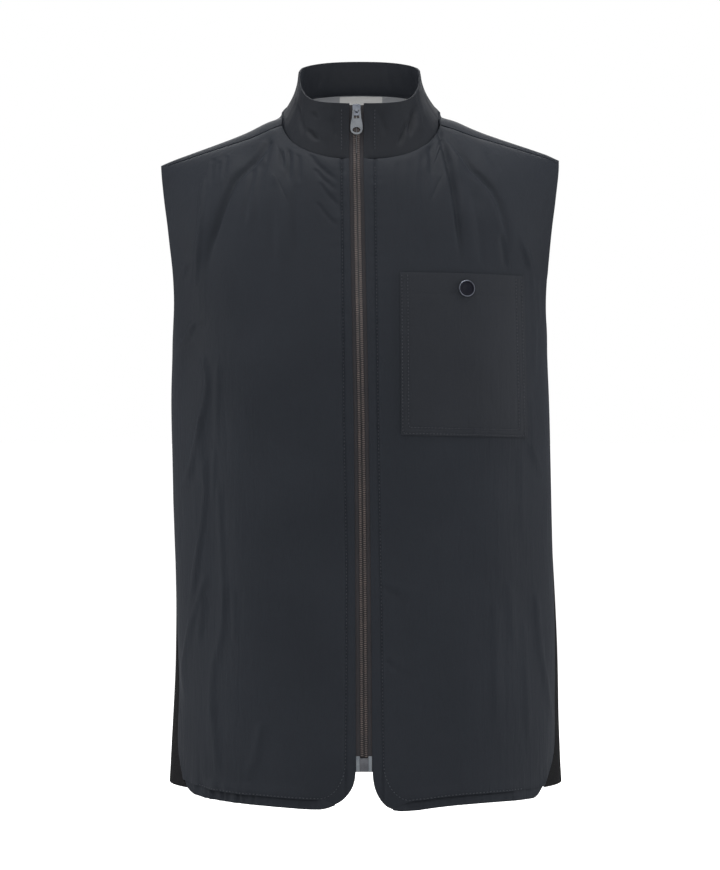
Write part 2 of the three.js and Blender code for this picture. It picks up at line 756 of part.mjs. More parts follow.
function bandEntry(panel, side, across, share) {
  let z = SIDE_HEM;
  let degrees = 0;
  for (let pass = 0; pass < PASSES; pass += 1) {
    const first = panel.first(side, z);
    const last = arcShare(radians(panel.edge(side, z) - BAND_END_GAP));
    degrees = THREE.MathUtils.radToDeg(arcTurn(lerp(first, last, across)));
    if (panel === BACK) degrees = 180 - degrees;
    const x = Math.abs(sectionPoint(side, degrees, z).x);
    const height = panel === BACK ? BAND_HEIGHT : bandHeight(side, x);
    z = panel.bottom(side, x) - SEAM_GAP - (1 - share) * height;
  }
  const at = sectionPoint(side, degrees, z);
  const out = degrees > 179 ? new THREE.Vector3(0, 1, 0) : sideOutward(side, degrees, z);
  const crown = 0.7 * Math.sin(Math.PI * share);
  return { at: at.addScaledVector(out, crown), out, wall: BAND_WALL - 0.6 + crown };
}

// Fills in between columns with straight steps, and ripples them where elastic gathers the hem
function gathered(entries) {
  const filled = [];
  entries.forEach((entry, i) => {
    filled.push(entry);
    const next = entries[i + 1];
    if (!next) return;
    for (let k = 1; k < BAND_PLEATS; k += 1) {
      const t = k / BAND_PLEATS;
      filled.push({
        at: entry.at.clone().lerp(next.at, t),
        out: entry.out.clone().lerp(next.out, t).normalize(),
        wall: lerp(entry.wall, next.wall, t),
      });
    }
  });
  for (const entry of filled) {
    const within = entry.at.x > GATHERS.from && entry.at.x < GATHERS.to;
    const ripple = within ? GATHERS.depth * Math.sin((2 * Math.PI * entry.at.x) / GATHERS.pitch) : 0;
    entry.at.addScaledVector(entry.out, ripple);
  }
  return filled;
}

function frontBand(side) {
  const start = BAND_START[sideName(side)];
  const columns = FRONT_COLUMNS.filter((across) => {
    return Math.abs(basePoint(FRONT, side, across, 0).x) > start;
  });
  const grid = spaced(BAND_ROWS).map((share) =>
    gathered(columns.map((across) => bandEntry(FRONT, side, across, share))),
  );
  return wallGeometry(grid);
}

function backBand() {
  const grid = spaced(BAND_ROWS).map((share) =>
    backColumns.map(({ side, across }) => bandEntry(BACK, side, across, share)),
  );
  return wallGeometry(grid);
}

// The stand collar, open at the zip

const COLLAR_ROWS = 5;

function neckStart(side) {
  const z = neckHeight(-NECK.front);
  const turn = Math.asin(Math.pow(zipEdge(side, z) / NECK.half, 1 / NECK.frontPower));
  return THREE.MathUtils.radToDeg(turn);
}

// How far round the neck each column of the panels meets the collar, 0 at the zip and 1 behind
function collarColumns(side) {
  const start = neckStart(side);
  const share = (degrees) => (degrees - start) / (180 - start);
  const front = FRONT_COLUMNS.filter((across) => across <= NECK_SHARE).map((across) =>
    share(lerp(start, SEAM_CORNER_TURN, Math.pow(across / NECK_SHARE, NECK_EASE))),
  );
  const back = BACK_COLUMNS.filter((across) => across < NECK_SHARE).map((across) =>
    share(lerp(180, SEAM_CORNER_TURN, across / NECK_SHARE)),
  );
  return [...front, ...back.reverse()];
}

function collarPoint(side, around, up) {
  const share = 1 - Math.pow(1 - up, COLLAR_FLARE);
  const half = lerp(NECK.half, COLLAR.half, share);
  const z = lerp(neckHeight(-NECK.front), collarHeight(-COLLAR.front), up);
  const start = Math.asin(Math.pow(zipEdge(side, z) / half, 1 / NECK.frontPower));
  const degrees = lerp(THREE.MathUtils.radToDeg(start), 180, around);
  const foot = neckPoint(side, degrees);
  const top = collarTop(side, degrees);
  return new THREE.Vector3(
    lerp(foot.x, top.x, share),
    lerp(foot.y, top.y, share),
    lerp(foot.z, top.z, up) + (SEAM_GAP / 2) * (1 - up),
  );
}

function collarEntry(side, around, up) {
  const step = 0.01;
  const a = collarPoint(side, Math.max(around - step, 0), up);
  const b = collarPoint(side, Math.min(around + step, 1), up);
  const c = collarPoint(side, around, Math.max(up - step, 0));
  const d = collarPoint(side, around, Math.min(up + step, 1));
  const out = b.sub(a).cross(d.sub(c)).normalize();
  if (side < 0) out.negate();
  if (up === 0) out.setZ(0).normalize();
  const crown = 0.8 * Math.sin(Math.PI * up) * soft(around / 0.08);
  const at = collarPoint(side, around, up).addScaledVector(out, crown);
  return { at, out, wall: COLLAR_WALL };
}

function collar() {
  const columns = [
    ...collarColumns(RIGHT).map((around) => ({ side: RIGHT, around })),
    ...collarColumns(LEFT).slice(0, -1).reverse().map((around) => ({ side: LEFT, around })),
  ];
  const grid = spaced(COLLAR_ROWS).map((up) =>
    columns.map(({ side, around }) => {
      const entry = collarEntry(side, around, up);
      if (around === 1) entry.out.setX(0).normalize();
      return entry;
    }),
  );
  return wallGeometry(grid);
}

// The middle line of the zip: its height, its depth, and the way out of the cloth

function centreLevel(points) {
  return { z: (points[0].z + points[1].z) / 2, y: (points[0].y + points[1].y) / 2 };
}

const centreLine = [
  ...spaced(ROWS, ROW_EASE).map((up) =>
    centreLevel([RIGHT, LEFT].map((side) => basePoint(FRONT, side, 0, up))),
  ),
  ...spaced(COLLAR_ROWS).slice(1).map((up) =>
    centreLevel([RIGHT, LEFT].map((side) => collarPoint(side, 0, up))),
  ),
];
const centreDepth = through(centreLine, "z", "y");
const ZIP_TOP = centreLine[centreLine.length - 1].z;

function zipPoint(z) {
  const slope = (centreDepth(z + 3) - centreDepth(z - 3)) / 6;
  const out = new THREE.Vector3(0, -1, slope).normalize();
  return { at: new THREE.Vector3(zipMiddle(z), centreDepth(z), z), out };
}

// A strip beside the zip's middle: how far across it runs, how deep its outer face lies, its wall
function zipStrip(side, from, to, depth, wall, zFrom, zTo) {
  const levels = centreLine.map((level) => level.z).filter((z) => z > zFrom + 2 && z < zTo - 2);
  const grid = [zFrom, ...levels, zTo].map((z) => {
    const { at, out } = zipPoint(z);
    return [from, to].map((across) => ({
      at: at.clone().addScaledVector(out, -depth).add(new THREE.Vector3(side * across, 0, 0)),
      out,
      wall,
    }));
  });
  return wallGeometry(grid);
}

const TAPE_FACE = COLLAR_WALL + SEAM_GAP + TAPE.sunk;
const COIL_FACE = TAPE_FACE - SEAM_GAP - COIL.wall;
const FILM_FACE = TAPE_FACE - SEAM_GAP - FILM.wall;
const TAPE_TOP = ZIP_TOP - 1.5;
const TAPE_FOOT = ZIP_END + 1;

// The slider, its bridge and the pull tab that swings on it

function extruded(shape, depth, from = 0) {
  const options = { depth, bevelEnabled: false, curveSegments: 6 };
  return new THREE.ExtrudeGeometry(shape, options).translate(0, 0, from);
}

function bridgeGeometry() {
  const { up, down, height, wall, half } = BRIDGE;
  const profile = new THREE.Shape();
  profile.moveTo(-down, 0.2);
  profile.lineTo(-down, height - 1.2);
  profile.quadraticCurveTo(-down, height, -down + 1.2, height);
  profile.lineTo(up - 2.6, height);
  profile.quadraticCurveTo(up, height, up, height - 2.4);
  profile.lineTo(up, 0.2);
  profile.closePath();
  const gap = new THREE.Shape();
  gap.moveTo(-down + wall, 0);
  gap.lineTo(up - wall, 0);
  gap.lineTo(up - wall, height - wall - 1.4);
  gap.quadraticCurveTo(up - wall, height - wall, up - wall - 1.6, height - wall);
  gap.lineTo(-down + wall, height - wall);
  gap.closePath();
  const depth = 2 * half;
  const outer = solidOf(extruded(profile, depth));
  const cut = solidOf(extruded(gap, depth + 2, -1));
  const arch = geometryOf(outer.subtract(cut));
  // profile x is up the zip, profile y is out of the cloth, the extrusion runs across
  arch.applyMatrix4(
    new THREE.Matrix4().makeBasis(
      new THREE.Vector3(0, 0, 1),
      new THREE.Vector3(0, -1, 0),
      new THREE.Vector3(1, 0, 0),
    ),
  );
  arch.translate(-half, 0, 0);
  return arch;
}

function sliderGeometry() {
  const { half, up, down, plate } = SLIDER;
  const outline = new THREE.Shape();
  outline.moveTo(-half, up - 2);
  outline.quadraticCurveTo(-half, up, -half + 2.4, up);
  outline.lineTo(half - 2.4, up);
  outline.quadraticCurveTo(half, up, half, up - 2);
  outline.lineTo(half - 0.7, -down + 1);
  outline.quadraticCurveTo(half - 0.8, -down, half - 1.8, -down);
  outline.lineTo(-half + 1.8, -down);
  outline.quadraticCurveTo(-half + 0.8, -down, -half + 0.7, -down + 1);
  outline.closePath();
  const cap = extruded(outline, plate);
  // the outline lies across and up, and the plate grows out of the cloth
  cap.rotateX(Math.PI / 2);
  const whole = solidOf(cap).add(solidOf(bridgeGeometry().translate(0, -plate + 0.3, 0)));
  return geometryOf(whole);
}

function pullGeometry() {
  const { length, top, foot, wall, bar, windowHalf, window, hole, swell, round } = PULL;
  const end = -(length - bar);
  const outline = new THREE.Shape();
  outline.moveTo(-top + 0.9, bar);
  outline.lineTo(top - 0.9, bar);
  outline.quadraticCurveTo(top, bar, top, bar - 0.9);
  const low = end + round.high * foot;
  outline.lineTo(top + swell.out, -window);
  outline.quadraticCurveTo(foot, -window - swell.down, foot, end + foot);
  outline.bezierCurveTo(foot, low, round.wide * foot, end, 0, end);
  outline.bezierCurveTo(-round.wide * foot, end, -foot, low, -foot, end + foot);
  outline.quadraticCurveTo(-foot, -window - swell.down, -top - swell.out, -window);
  outline.lineTo(-top, bar - 0.9);
  outline.closePath();
  const plate = extruded(outline, wall, -wall / 2);
  const slot = new THREE.BoxGeometry(2 * windowHalf, window - bar, 2 * wall);
  slot.translate(0, -(window + bar) / 2, 0);
  const oval = new THREE.CylinderGeometry(1, 1, 2 * wall, 24);
  oval.rotateX(Math.PI / 2).scale(hole.x, hole.z, 1).translate(0, -hole.drop, 0);
  const tab = geometryOf(solidOf(plate).subtract(solidOf(slot)).subtract(solidOf(oval)));
  tab.rotateX(Math.PI / 2);
  return tab;
}

// Chest pocket

function frontAt(side, x, z) {
  let across = Math.abs(x) / 240;
  let up = (z + 690) / 640;
  for (let pass = 0; pass < 14; pass += 1) {
    const here = frontPoint(side, across, up).at;
    const beside = frontPoint(side, across + 0.01, up).at;
    const above = frontPoint(side, across, up + 0.01).at;
    across += ((x - here.x) / (beside.x - here.x)) * 0.01 * 0.9;
    up += ((z - here.z) / (above.z - here.z)) * 0.01 * 0.9;
  }
  return frontPoint(side, across, up);
}

const POCKET_COLUMNS = 9;
const POCKET_ROWS = 11;

function pocketEntry(across, down) {
  const { top, bottom, fullness } = POCKET;
  const left = lerp(top.left, bottom.left, down);
  const right = lerp(top.right, bottom.right, down);
  const z = lerp(lerp(top.z, bottom.z, down), lerp(top.zRight, bottom.zRight, down), across);
  const { at, out } = frontAt(LEFT, lerp(left, right, across), z);
  const full = fullness * Math.sin(Math.PI * across) * Math.sin(Math.PI * Math.min(1, 0.15 + 0.85 * down));
  const lift = SEAM_GAP + 0.2 + POCKET_WALL + full;
  return { at: at.addScaledVector(out, lift), out, wall: POCKET_WALL };
}

function pocket() {
  const grid = spaced(POCKET_ROWS).map((down) =>
    spaced(POCKET_COLUMNS).map((across) => pocketEntry(across, down)),
  );
  return wallGeometry(grid);
}

function snapProfile() {
  const { radius, rise, dish, rim } = SNAP;
  return [
    new THREE.Vector2(0, 0),
    new THREE.Vector2(radius - 0.6, 0),
    new THREE.Vector2(radius, 0.5),
    new THREE.Vector2(radius - 0.1, rise - 0.5),
    new THREE.Vector2(radius - 0.7, rise),
    new THREE.Vector2(radius - rim - 0.3, rise),
    new THREE.Vector2(radius - rim - 0.7, rise - dish),
    new THREE.Vector2(radius - rim - 2, rise - dish),
    new THREE.Vector2(0, rise - dish + 0.25),
  ];
}

function placeOut(mesh, entry, lift) {
  mesh.quaternion.setFromUnitVectors(new THREE.Vector3(0, 1, 0), entry.out);
  mesh.position.copy(entry.at).addScaledVector(entry.out, lift);
}

// What shows inside the back of the neck: a strip of lining and the label on it

function insideBack({ side, across }, up, depth, wall) {
  const entry = backPoint(side, across, up);
  if (across === 0) entry.out.setX(0).normalize();
  entry.at.addScaledVector(entry.out, -(entry.wall + SEAM_GAP + depth));
  if (up === 1) entry.at.z -= SEAM_GAP;
  return { ...entry, wall };
}

function rowsWithin(drop) {
  const top = neckPoint(LEFT, 180).z;
  return spaced(ROWS, ROW_EASE).filter((up) => backPoint(LEFT, 0, up).at.z > top - drop);
}

function backLining() {
  const columns = backColumns.filter(({ across }) => across <= LINING.across);
  const grid = rowsWithin(LINING.drop).map((up) =>
    columns.map((column) => insideBack(column, up, 0, LINING_WALL)),
  );
  return wallGeometry(grid);
}

// Its ends lie on the straight steps between the lining's middle columns
function neckLabel() {
  const depth = LINING_WALL + SEAM_GAP;
  const grid = rowsWithin(LABEL.drop).map((up) => {
    const middle = insideBack({ side: LEFT, across: 0 }, up, depth, LABEL_WALL);
    const end = (side) => {
      const beside = insideBack({ side, across: BACK_COLUMNS[1] }, up, depth, LABEL_WALL);
      const share = LABEL.half / Math.abs(beside.at.x);
      const out = middle.out.clone().lerp(beside.out, share).normalize();
      return { at: middle.at.clone().lerp(beside.at, share), out, wall: LABEL_WALL };
    };
    return [end(RIGHT), middle, end(LEFT)];
  });
  return wallGeometry(grid);
}

// The whole vest

for (const side of [RIGHT, LEFT]) {
  const name = sideName(side);
  add("front_" + name, frontPanel(side), SHELL);
  add("side_panel_" + name, sidePanel(side), KNIT);
  add("hem_band_" + name, frontBand(side), SHELL);
  const tape = zipStrip(side, SEAM_GAP / 2, TAPE.half, TAPE_FACE, TAPE.wall, TAPE_FOOT, TAPE_TOP);
  add("zip_tape_" + name, tape, TAPE_CLOTH);
  const coilFoot = TAPE_FOOT + ZIP_BOX.height - 1;
  const coil = zipStrip(side, SEAM_GAP / 2, COIL.half, COIL_FACE, COIL.wall, coilFoot, TAPE_TOP);
  add("zip_coil_" + name, coil, COIL_PLASTIC);
  const film = zipStrip(
    side, ZIP_BOX.half + SEAM_GAP, zipGap(ZIP_END) - SEAM_GAP,
    FILM_FACE, FILM.wall, TAPE_FOOT, TAPE_FOOT + FILM.height,
  );
  add("zip_end_" + name, film, FILM_PLASTIC);
}
add("back", backPanel(), SHELL);
add("hem_band_back", backBand(), SHELL);
add("collar", collar(), SHELL);
add("back_neck_lining", backLining(), LINING_CLOTH);
add("neck_label", neckLabel(), LABEL_CLOTH);

add("chest_pocket", pocket(), SHELL);
const snap = add("pocket_snap", new THREE.LatheGeometry(snapProfile(), 28), ENAMEL);
const snapAcross = (SNAP.x - POCKET.top.left) / (POCKET.top.right - POCKET.top.left);
const snapDown = (SNAP.z - POCKET.top.z) / (POCKET.bottom.z - POCKET.top.z);
placeOut(snap, pocketEntry(snapAcross, snapDown), SEAM_GAP);

const sliderSeat = zipPoint(SLIDER.z);
const sliderLift = -COIL_FACE + SEAM_GAP;
const zipLean = Math.atan2(sliderSeat.out.z, -sliderSeat.out.y);
const runner = new THREE.Group();
runner.position.copy(sliderSeat.at).addScaledVector(sliderSeat.out, sliderLift);
runner.rotation.x = -zipLean;
vest.add(runner);
add("zip_slider", sliderGeometry(), METAL, runner);
const pull = add("zip_pull", pullGeometry(), METAL, runner);
pull.position.set(0, -(SLIDER.plate + (BRIDGE.height - BRIDGE.wall) / 2), 0);
pull.rotation.x = -radians(PULL_REST);

const boxSeat = zipPoint(TAPE_FOOT + ZIP_BOX.height / 2 - 1);
const boxBlock = new THREE.BoxGeometry(2 * ZIP_BOX.half, ZIP_BOX.wall, ZIP_BOX.height - 2);
const zipBox = add("zip_box", boxBlock, METAL);
zipBox.position.copy(boxSeat.at).addScaledVector(boxSeat.out, -TAPE_FACE + SEAM_GAP + ZIP_BOX.wall / 2);
zipBox.rotation.x = -Math.atan2(boxSeat.out.z, -boxSeat.out.y);

export default vest;
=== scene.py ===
# %% [markdown]
# # A padded vest, dressed
#
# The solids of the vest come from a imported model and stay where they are. Here each cloth piece gets a finer
# form with its creases and puckers, the seams get their stitches, the zip gets its coil, and every surface gets
# a material. Blender works in metres; the tables of this file are in millimetres, because a maker measures a
# garment that way.

# %% The frame and the size it came with
import math

import bpy
import numpy as np
from mathutils import Matrix, Vector
from mathutils.bvhtree import BVHTree


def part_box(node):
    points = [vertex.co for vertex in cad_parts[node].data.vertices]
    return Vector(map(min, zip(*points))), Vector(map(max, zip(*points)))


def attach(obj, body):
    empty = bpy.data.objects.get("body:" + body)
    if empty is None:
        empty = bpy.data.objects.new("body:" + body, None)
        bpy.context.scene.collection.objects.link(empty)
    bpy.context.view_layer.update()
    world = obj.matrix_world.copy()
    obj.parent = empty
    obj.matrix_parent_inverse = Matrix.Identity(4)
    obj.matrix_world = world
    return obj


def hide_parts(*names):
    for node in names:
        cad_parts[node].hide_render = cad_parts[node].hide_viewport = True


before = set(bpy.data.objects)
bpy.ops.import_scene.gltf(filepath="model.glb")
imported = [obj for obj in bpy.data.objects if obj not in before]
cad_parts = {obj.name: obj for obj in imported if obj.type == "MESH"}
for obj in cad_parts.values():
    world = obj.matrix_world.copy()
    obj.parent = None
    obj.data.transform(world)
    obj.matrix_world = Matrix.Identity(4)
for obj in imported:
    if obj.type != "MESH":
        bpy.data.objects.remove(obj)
bpy.ops.object.select_all(action="DESELECT")
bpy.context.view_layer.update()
MM = 0.001

# %% [markdown]
# ## From a coarse solid to cloth
#
# A solid arrives as loose triangles. A copy of it is merged, its triangles are paired back into squares, and its
# rims are creased, so that a Subdivision Surface rounds the cloth but leaves every edge on its seam. A narrow
# Bevel then takes the knife edge off the rims. Subdividing a copy, and not drawing the cloth anew, keeps each
# piece exactly where the solid is. Where two pieces are sewn together, the rim of one is first tucked a little
# way under the other, as a seam allowance is, so that no light shows through the seam.


# %% Helpers that make cloth of a solid
def select_only(piece):
    bpy.ops.object.select_all(action="DESELECT")
    piece.select_set(True)
    bpy.context.view_layer.objects.active = piece


def apply_modifier(piece, kind, **settings):
    modifier = piece.modifiers.new(kind.title(), kind)
    for key, value in settings.items():
        setattr(modifier, key, value)
    select_only(piece)
    bpy.ops.object.modifier_apply(modifier=modifier.name)


def copy_of(node, name):
    piece = bpy.data.objects.new(name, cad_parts[node].data.copy())
    bpy.context.scene.collection.objects.link(piece)
    piece.data.materials.clear()
    return piece


ANYWHERE = -1000
TUCK = {"facing": 0.6, "under": 1.2, "inward": 0.5}
SHOULDER = {"from_middle": 94, "lowest": -90}


def tucked(piece, towards, lowest, by_shoulder=False):
    direction = Vector(towards)
    rims = set()
    for face in piece.data.polygons:
        chosen = face.normal.dot(direction) > TUCK["facing"] and face.center.z > lowest * MM
        if by_shoulder:
            chosen = chosen and abs(face.center.x) > SHOULDER["from_middle"] * MM
        if chosen:
            rims.update(face.vertices)
    for i in rims:
        point = piece.data.vertices[i]
        inward = Vector((0, 0, -1)) if by_shoulder else -Vector((point.co.x, point.co.y, 0)).normalized()
        point.co += (direction * TUCK["under"] + inward * TUCK["inward"]) * MM


def cloth_of(node, name, levels, rim=0.5, tucks=(), sharp=50, by_shoulder=False):
    piece = copy_of(node, name)
    select_only(piece)
    bpy.ops.object.mode_set(mode="EDIT")
    bpy.ops.mesh.select_all(action="SELECT")
    bpy.ops.mesh.remove_doubles(threshold=0.00001)
    if tucks:
        bpy.ops.object.mode_set(mode="OBJECT")
        for towards, lowest in tucks:
            tucked(piece, towards, lowest, by_shoulder=by_shoulder)
        bpy.ops.object.mode_set(mode="EDIT")
        bpy.ops.mesh.select_all(action="SELECT")
    bpy.ops.mesh.tris_convert_to_quads(face_threshold=math.radians(50), shape_threshold=math.radians(80))
    bpy.ops.mesh.select_all(action="DESELECT")
    bpy.ops.mesh.select_mode(type="EDGE")
    bpy.ops.mesh.edges_select_sharp(sharpness=math.radians(sharp))
    bpy.ops.transform.edge_crease(value=1)
    bpy.ops.mesh.select_mode(type="VERT")
    bpy.ops.object.mode_set(mode="OBJECT")
    apply_modifier(piece, "SUBSURF", levels=levels, render_levels=levels)
    piece["rim"] = rim
    return piece


def rounded(piece):
    if piece["rim"]:
        apply_modifier(
            piece, "BEVEL", width=piece["rim"] * MM, segments=2, limit_method="ANGLE",
            angle_limit=math.radians(55), use_clamp_overlap=True,
        )
    del piece["rim"]
    select_only(piece)
    bpy.ops.object.shade_smooth()
    return piece


def points_of(piece):
    flat = np.empty(len(piece.data.vertices) * 3)
    piece.data.vertices.foreach_get("co", flat)
    return flat.reshape(-1, 3) / MM


def move_points(piece, points):
    piece.data.vertices.foreach_set("co", (points * MM).ravel())
    piece.data.update()


# %% [markdown]
# ## Creases and puckers
#
# Thin padding makes troughs where the cloth is pulled, and a soft ridge rises beside each. A main one is a row of
# a table: the places it runs through on the front view, from its top down, then half its width, how deep it is
# (minus for a ridge) and on which side its smaller companion lies. The cloth is moved along a direction that
# points away from the middle of the body, and both of its faces are moved alike, so that its thickness stays.
# A fold starts sharply at its top, where a seam holds it, and dies away slowly towards its foot.
# Small puckers beside a line of stitches are a ripple that dies away from the seam, and its steps are uneven
# because they are added up from waves of unlike lengths. Each wave is a rate and a weight. Broad unevenness is
# two products of sine waves round and down the body, one slow and one quick.


# %% Helpers that crease cloth
BODY_MIDDLE = {"share_of_breadth": 0.55, "highest": -110}


def away_from_body(points):
    across = BODY_MIDDLE["share_of_breadth"] * points[:, 0]
    height = np.minimum(points[:, 2], BODY_MIDDLE["highest"])
    middle = np.stack([across, np.zeros(len(points)), height], axis=1)
    direction = points - middle
    return direction / np.linalg.norm(direction, axis=1)[:, None]


def soft_step(value):
    t = np.clip(value, 0, 1)
    return t * t * (3 - 2 * t)


COMPANION = {"away": 2.9, "breadth": 2.4}
FOLD_SOFTENING = 7.0
FADE = {"foot_run": 0.4, "foot_start": 0.15, "top_run": 0.12, "top_start": 0.6}


def folded(points, rows, gain=1.45, share=0.34, fade=FADE):
    x, z = points[:, 0], points[:, 2]
    total = np.zeros(len(points))
    for path, width, depth, side in rows:
        places, heights = zip(*path[::-1])
        above = np.interp(z + FOLD_SOFTENING, heights, places)
        below = np.interp(z - FOLD_SOFTENING, heights, places)
        middle = (above + below + 2 * np.interp(z, heights, places)) / 4
        slope = (above - below) / (2 * FOLD_SOFTENING)
        off = (x - middle) / np.sqrt(1 + slope**2) / width
        run = heights[-1] - heights[0]
        strength = soft_step((z - heights[0]) / (fade["foot_run"] * run) + fade["foot_start"])
        strength = strength * soft_step((heights[-1] - z) / (fade["top_run"] * run) + fade["top_start"])
        companion = np.exp(-(((off - side * COMPANION["away"]) / COMPANION["breadth"]) ** 2))
        total += depth * strength * (share * companion - np.exp(-(off**2)))
    return gain * total


BIN = 4.0


def edge_of(along, heights, pick):
    bins = np.round(along / BIN).astype(int)
    places = np.unique(bins)
    levels = np.array([pick(heights[bins == place]) for place in places])
    return np.interp(along, places * BIN, levels)


RIPPLE_WAVES = [(1.0, 1.0), (0.62, 0.7), (1.53, 0.55), (0.37, 0.6), (2.3, 0.25)]
RIPPLE_PHASE = 2.1
RIPPLE_PEAK = 2.2
GIRTH_RADIUS = 150


def ripple(along, pitch, seed):
    return sum(
        weight * np.sin(2 * np.pi * along * rate / pitch + seed * (i + 1) * RIPPLE_PHASE)
        for i, (rate, weight) in enumerate(RIPPLE_WAVES)
    ) / RIPPLE_PEAK


def unevenness(points, seed):
    x, y, z = points.T
    side = np.arctan2(y, x) * GIRTH_RADIUS
    slow = np.sin(side / 37 + seed + z / 210) * np.sin(z / 83 + 1.7 * seed)
    quick = np.sin(side / 13 + 0.8 * np.sin(z / 41 + seed)) * np.sin(z / 55 + side / 61 + seed)
    return 0.6 * slow + 0.35 * quick


# %% [markdown]
# ## The two fronts
#
# A front is cut from shell nylon with a thin layer of padding behind it. On the form it hangs nearly smooth, with
# short pulls below the collar, long soft folds that run down from the shoulder, and puckers where the zip is
# stitched. The main folds are in the solid; the finer ones are added here.

# %% The fronts' lines and finer creases
RIGHT, LEFT = -1, 1
ZIP_MIDDLE = [(-720, 3.2), (-642, 3.0), (-430, 1.6), (-325, 0.4), (-236, -1.2), (-120, -3.4), (-45, -4.6), (60, -4.4)]
ZIP_STITCH = {
    RIGHT: [
        (-720, -15.5), (-640, -15.2), (-560, -14.6), (-455, -14.4),
        (-325, -16.8), (-160, -18.3), (-45, -19.4), (60, -19.6),
    ],
    LEFT: [
        (-720, 22.6), (-660, 22.2), (-525, 20.6), (-425, 18.9),
        (-325, 17.2), (-160, 15.0), (-45, 13.8), (60, 13.6),
    ],
}
RIGHT_FOLDS = [
    (
        [(-93, -34), (-100, -47), (-110, -60), (-120, -67), (-128, -77), (-138, -104), (-148, -136), (-154, -162)],
        3.0, 2.4, -1,
    ),
    ([(-158, -75), (-160, -84), (-161, -121), (-166, -171), (-168, -190)], 2.5, -1.6, -1),
    ([(-150, -50), (-150, -80)], 2.6, 0.8, 1),
    ([(-143, -54), (-145, -77)], 2.5, 0.7, -1),
    ([(-136, -48), (-138, -74)], 2.5, 0.7, 1),
    ([(-91, -34), (-96, -60)], 2.5, 1.0, -1),
    ([(-80, -44), (-78, -66)], 2.4, 1.1, 1),
    ([(-73, -44), (-71, -56), (-73, -76)], 2.5, 1.6, 1),
    ([(-63, -50), (-62, -62), (-62, -80)], 2.4, 1.0, 1),
    ([(-108, -64), (-114, -96), (-117, -126)], 3.0, 1.4, 1),
    ([(-98, -60), (-103, -92), (-104, -130)], 3.4, 0.9, -1),
    ([(-64, -82), (-66, -118), (-65, -156)], 4.0, 0.9, -1),
    ([(-86, -80), (-88, -170)], 4.5, 0.7, 1),
    ([(-52, -50), (-38, -66), (-21, -79)], 2.4, 1.0, 1),
    ([(-46, -66), (-33, -81), (-20, -89)], 2.4, 0.8, 1),
    ([(-41, -80), (-31, -94), (-20, -104)], 2.4, 0.8, 1),
    ([(-44, -100), (-32, -115), (-20, -126)], 2.4, 0.7, 1),
    ([(-176, -158), (-186, -184)], 2.6, -1.2, 1),
    ([(-168, -218), (-173, -229), (-185, -246)], 2.6, -1.7, 1),
    ([(-158, -256), (-153, -275), (-157, -302), (-171, -362), (-183, -394)], 2.8, -2.0, -1),
    ([(-143, -262), (-144, -352)], 2.5, -0.7, -1),
    ([(-161, -300), (-163, -420)], 2.6, -0.8, -1),
    ([(-157, -360), (-156, -387), (-161, -430), (-168, -475), (-176, -524)], 2.8, -1.9, -1),
    ([(-167, -378), (-166, -438)], 2.5, -0.9, 1),
    ([(-142, -385), (-140, -440), (-137, -495), (-139, -536)], 2.5, -0.9, 1),
    ([(-146, -346), (-149, -400)], 2.4, -0.7, -1),
    ([(-156, -474), (-172, -522), (-180, -566), (-177, -600)], 3.0, -1.7, -1),
    ([(-158, -494), (-164, -540)], 2.6, -1.1, 1),
    ([(-136, -480), (-138, -522), (-149, -566), (-151, -642)], 3.4, -1.1, 1),
    ([(-127, -486), (-126, -540)], 2.5, -0.6, 1),
    ([(-149, -600), (-143, -668)], 3.2, -0.9, 1),
    ([(-99, -616), (-106, -655), (-118, -674)], 4.2, -0.9, 1),
]
LEFT_FOLDS = [
    ([(79, -23), (83, -38), (87, -56), (91, -78), (94, -96), (97, -126), (99, -160)], 2.8, 2.3, 1),
    ([(86, -29), (103, -49), (111, -64), (128, -79), (138, -96), (143, -116), (147, -140)], 3.0, 2.2, -1),
    ([(70, -40), (70, -72)], 3.0, 1.3, -1),
    ([(126, -45), (134, -56), (143, -66)], 3.0, 0.5, 1),
    ([(140, -132), (143, -150), (145, -170)], 2.5, 1.1, -1),
    ([(62, -50), (60, -90), (62, -160)], 4.0, 0.8, -1),
    ([(50, -58), (51, -164)], 4.0, 0.7, 1),
    ([(38, -60), (37, -140)], 4.0, 0.6, -1),
    ([(112, -90), (118, -130), (120, -166)], 4.0, 0.8, 1),
    ([(162, -138), (169, -155), (172, -175), (174, -225), (172, -300)], 3.0, -1.6, 1),
    ([(178, -170), (180, -224)], 2.8, -1.0, 1),
    ([(171, -296), (171, -342), (182, -372)], 2.8, -1.4, -1),
    ([(160, -340), (162, -440)], 3.4, -0.8, 1),
    ([(147, -480), (154, -548)], 4.0, -0.9, 1),
    ([(176, -494), (181, -548), (189, -596), (195, -630)], 2.8, -1.3, -1),
    ([(134, -500), (136, -630)], 4.6, -0.7, -1),
    ([(164, -520), (168, -640)], 3.4, -0.8, 1),
    ([(18, -478), (30, -484), (42, -492)], 2.8, 1.0, 1),
    ([(24, -552), (32, -560), (42, -566)], 2.8, 0.8, 1),
]


def on_line(rows, z):
    heights, places = zip(*rows)
    return np.interp(z, heights, places)


# %% [markdown]
# The finer forms of a front are named here with their sizes: the groove that the zip's stitches pull, the
# puckers beside it, the cloth that rolls over the hem band, the gathers at the right hem, and the groove below
# the collar. All of them fade out under the pocket, beside the zip and at the shoulder seam, where the cloth is
# held.

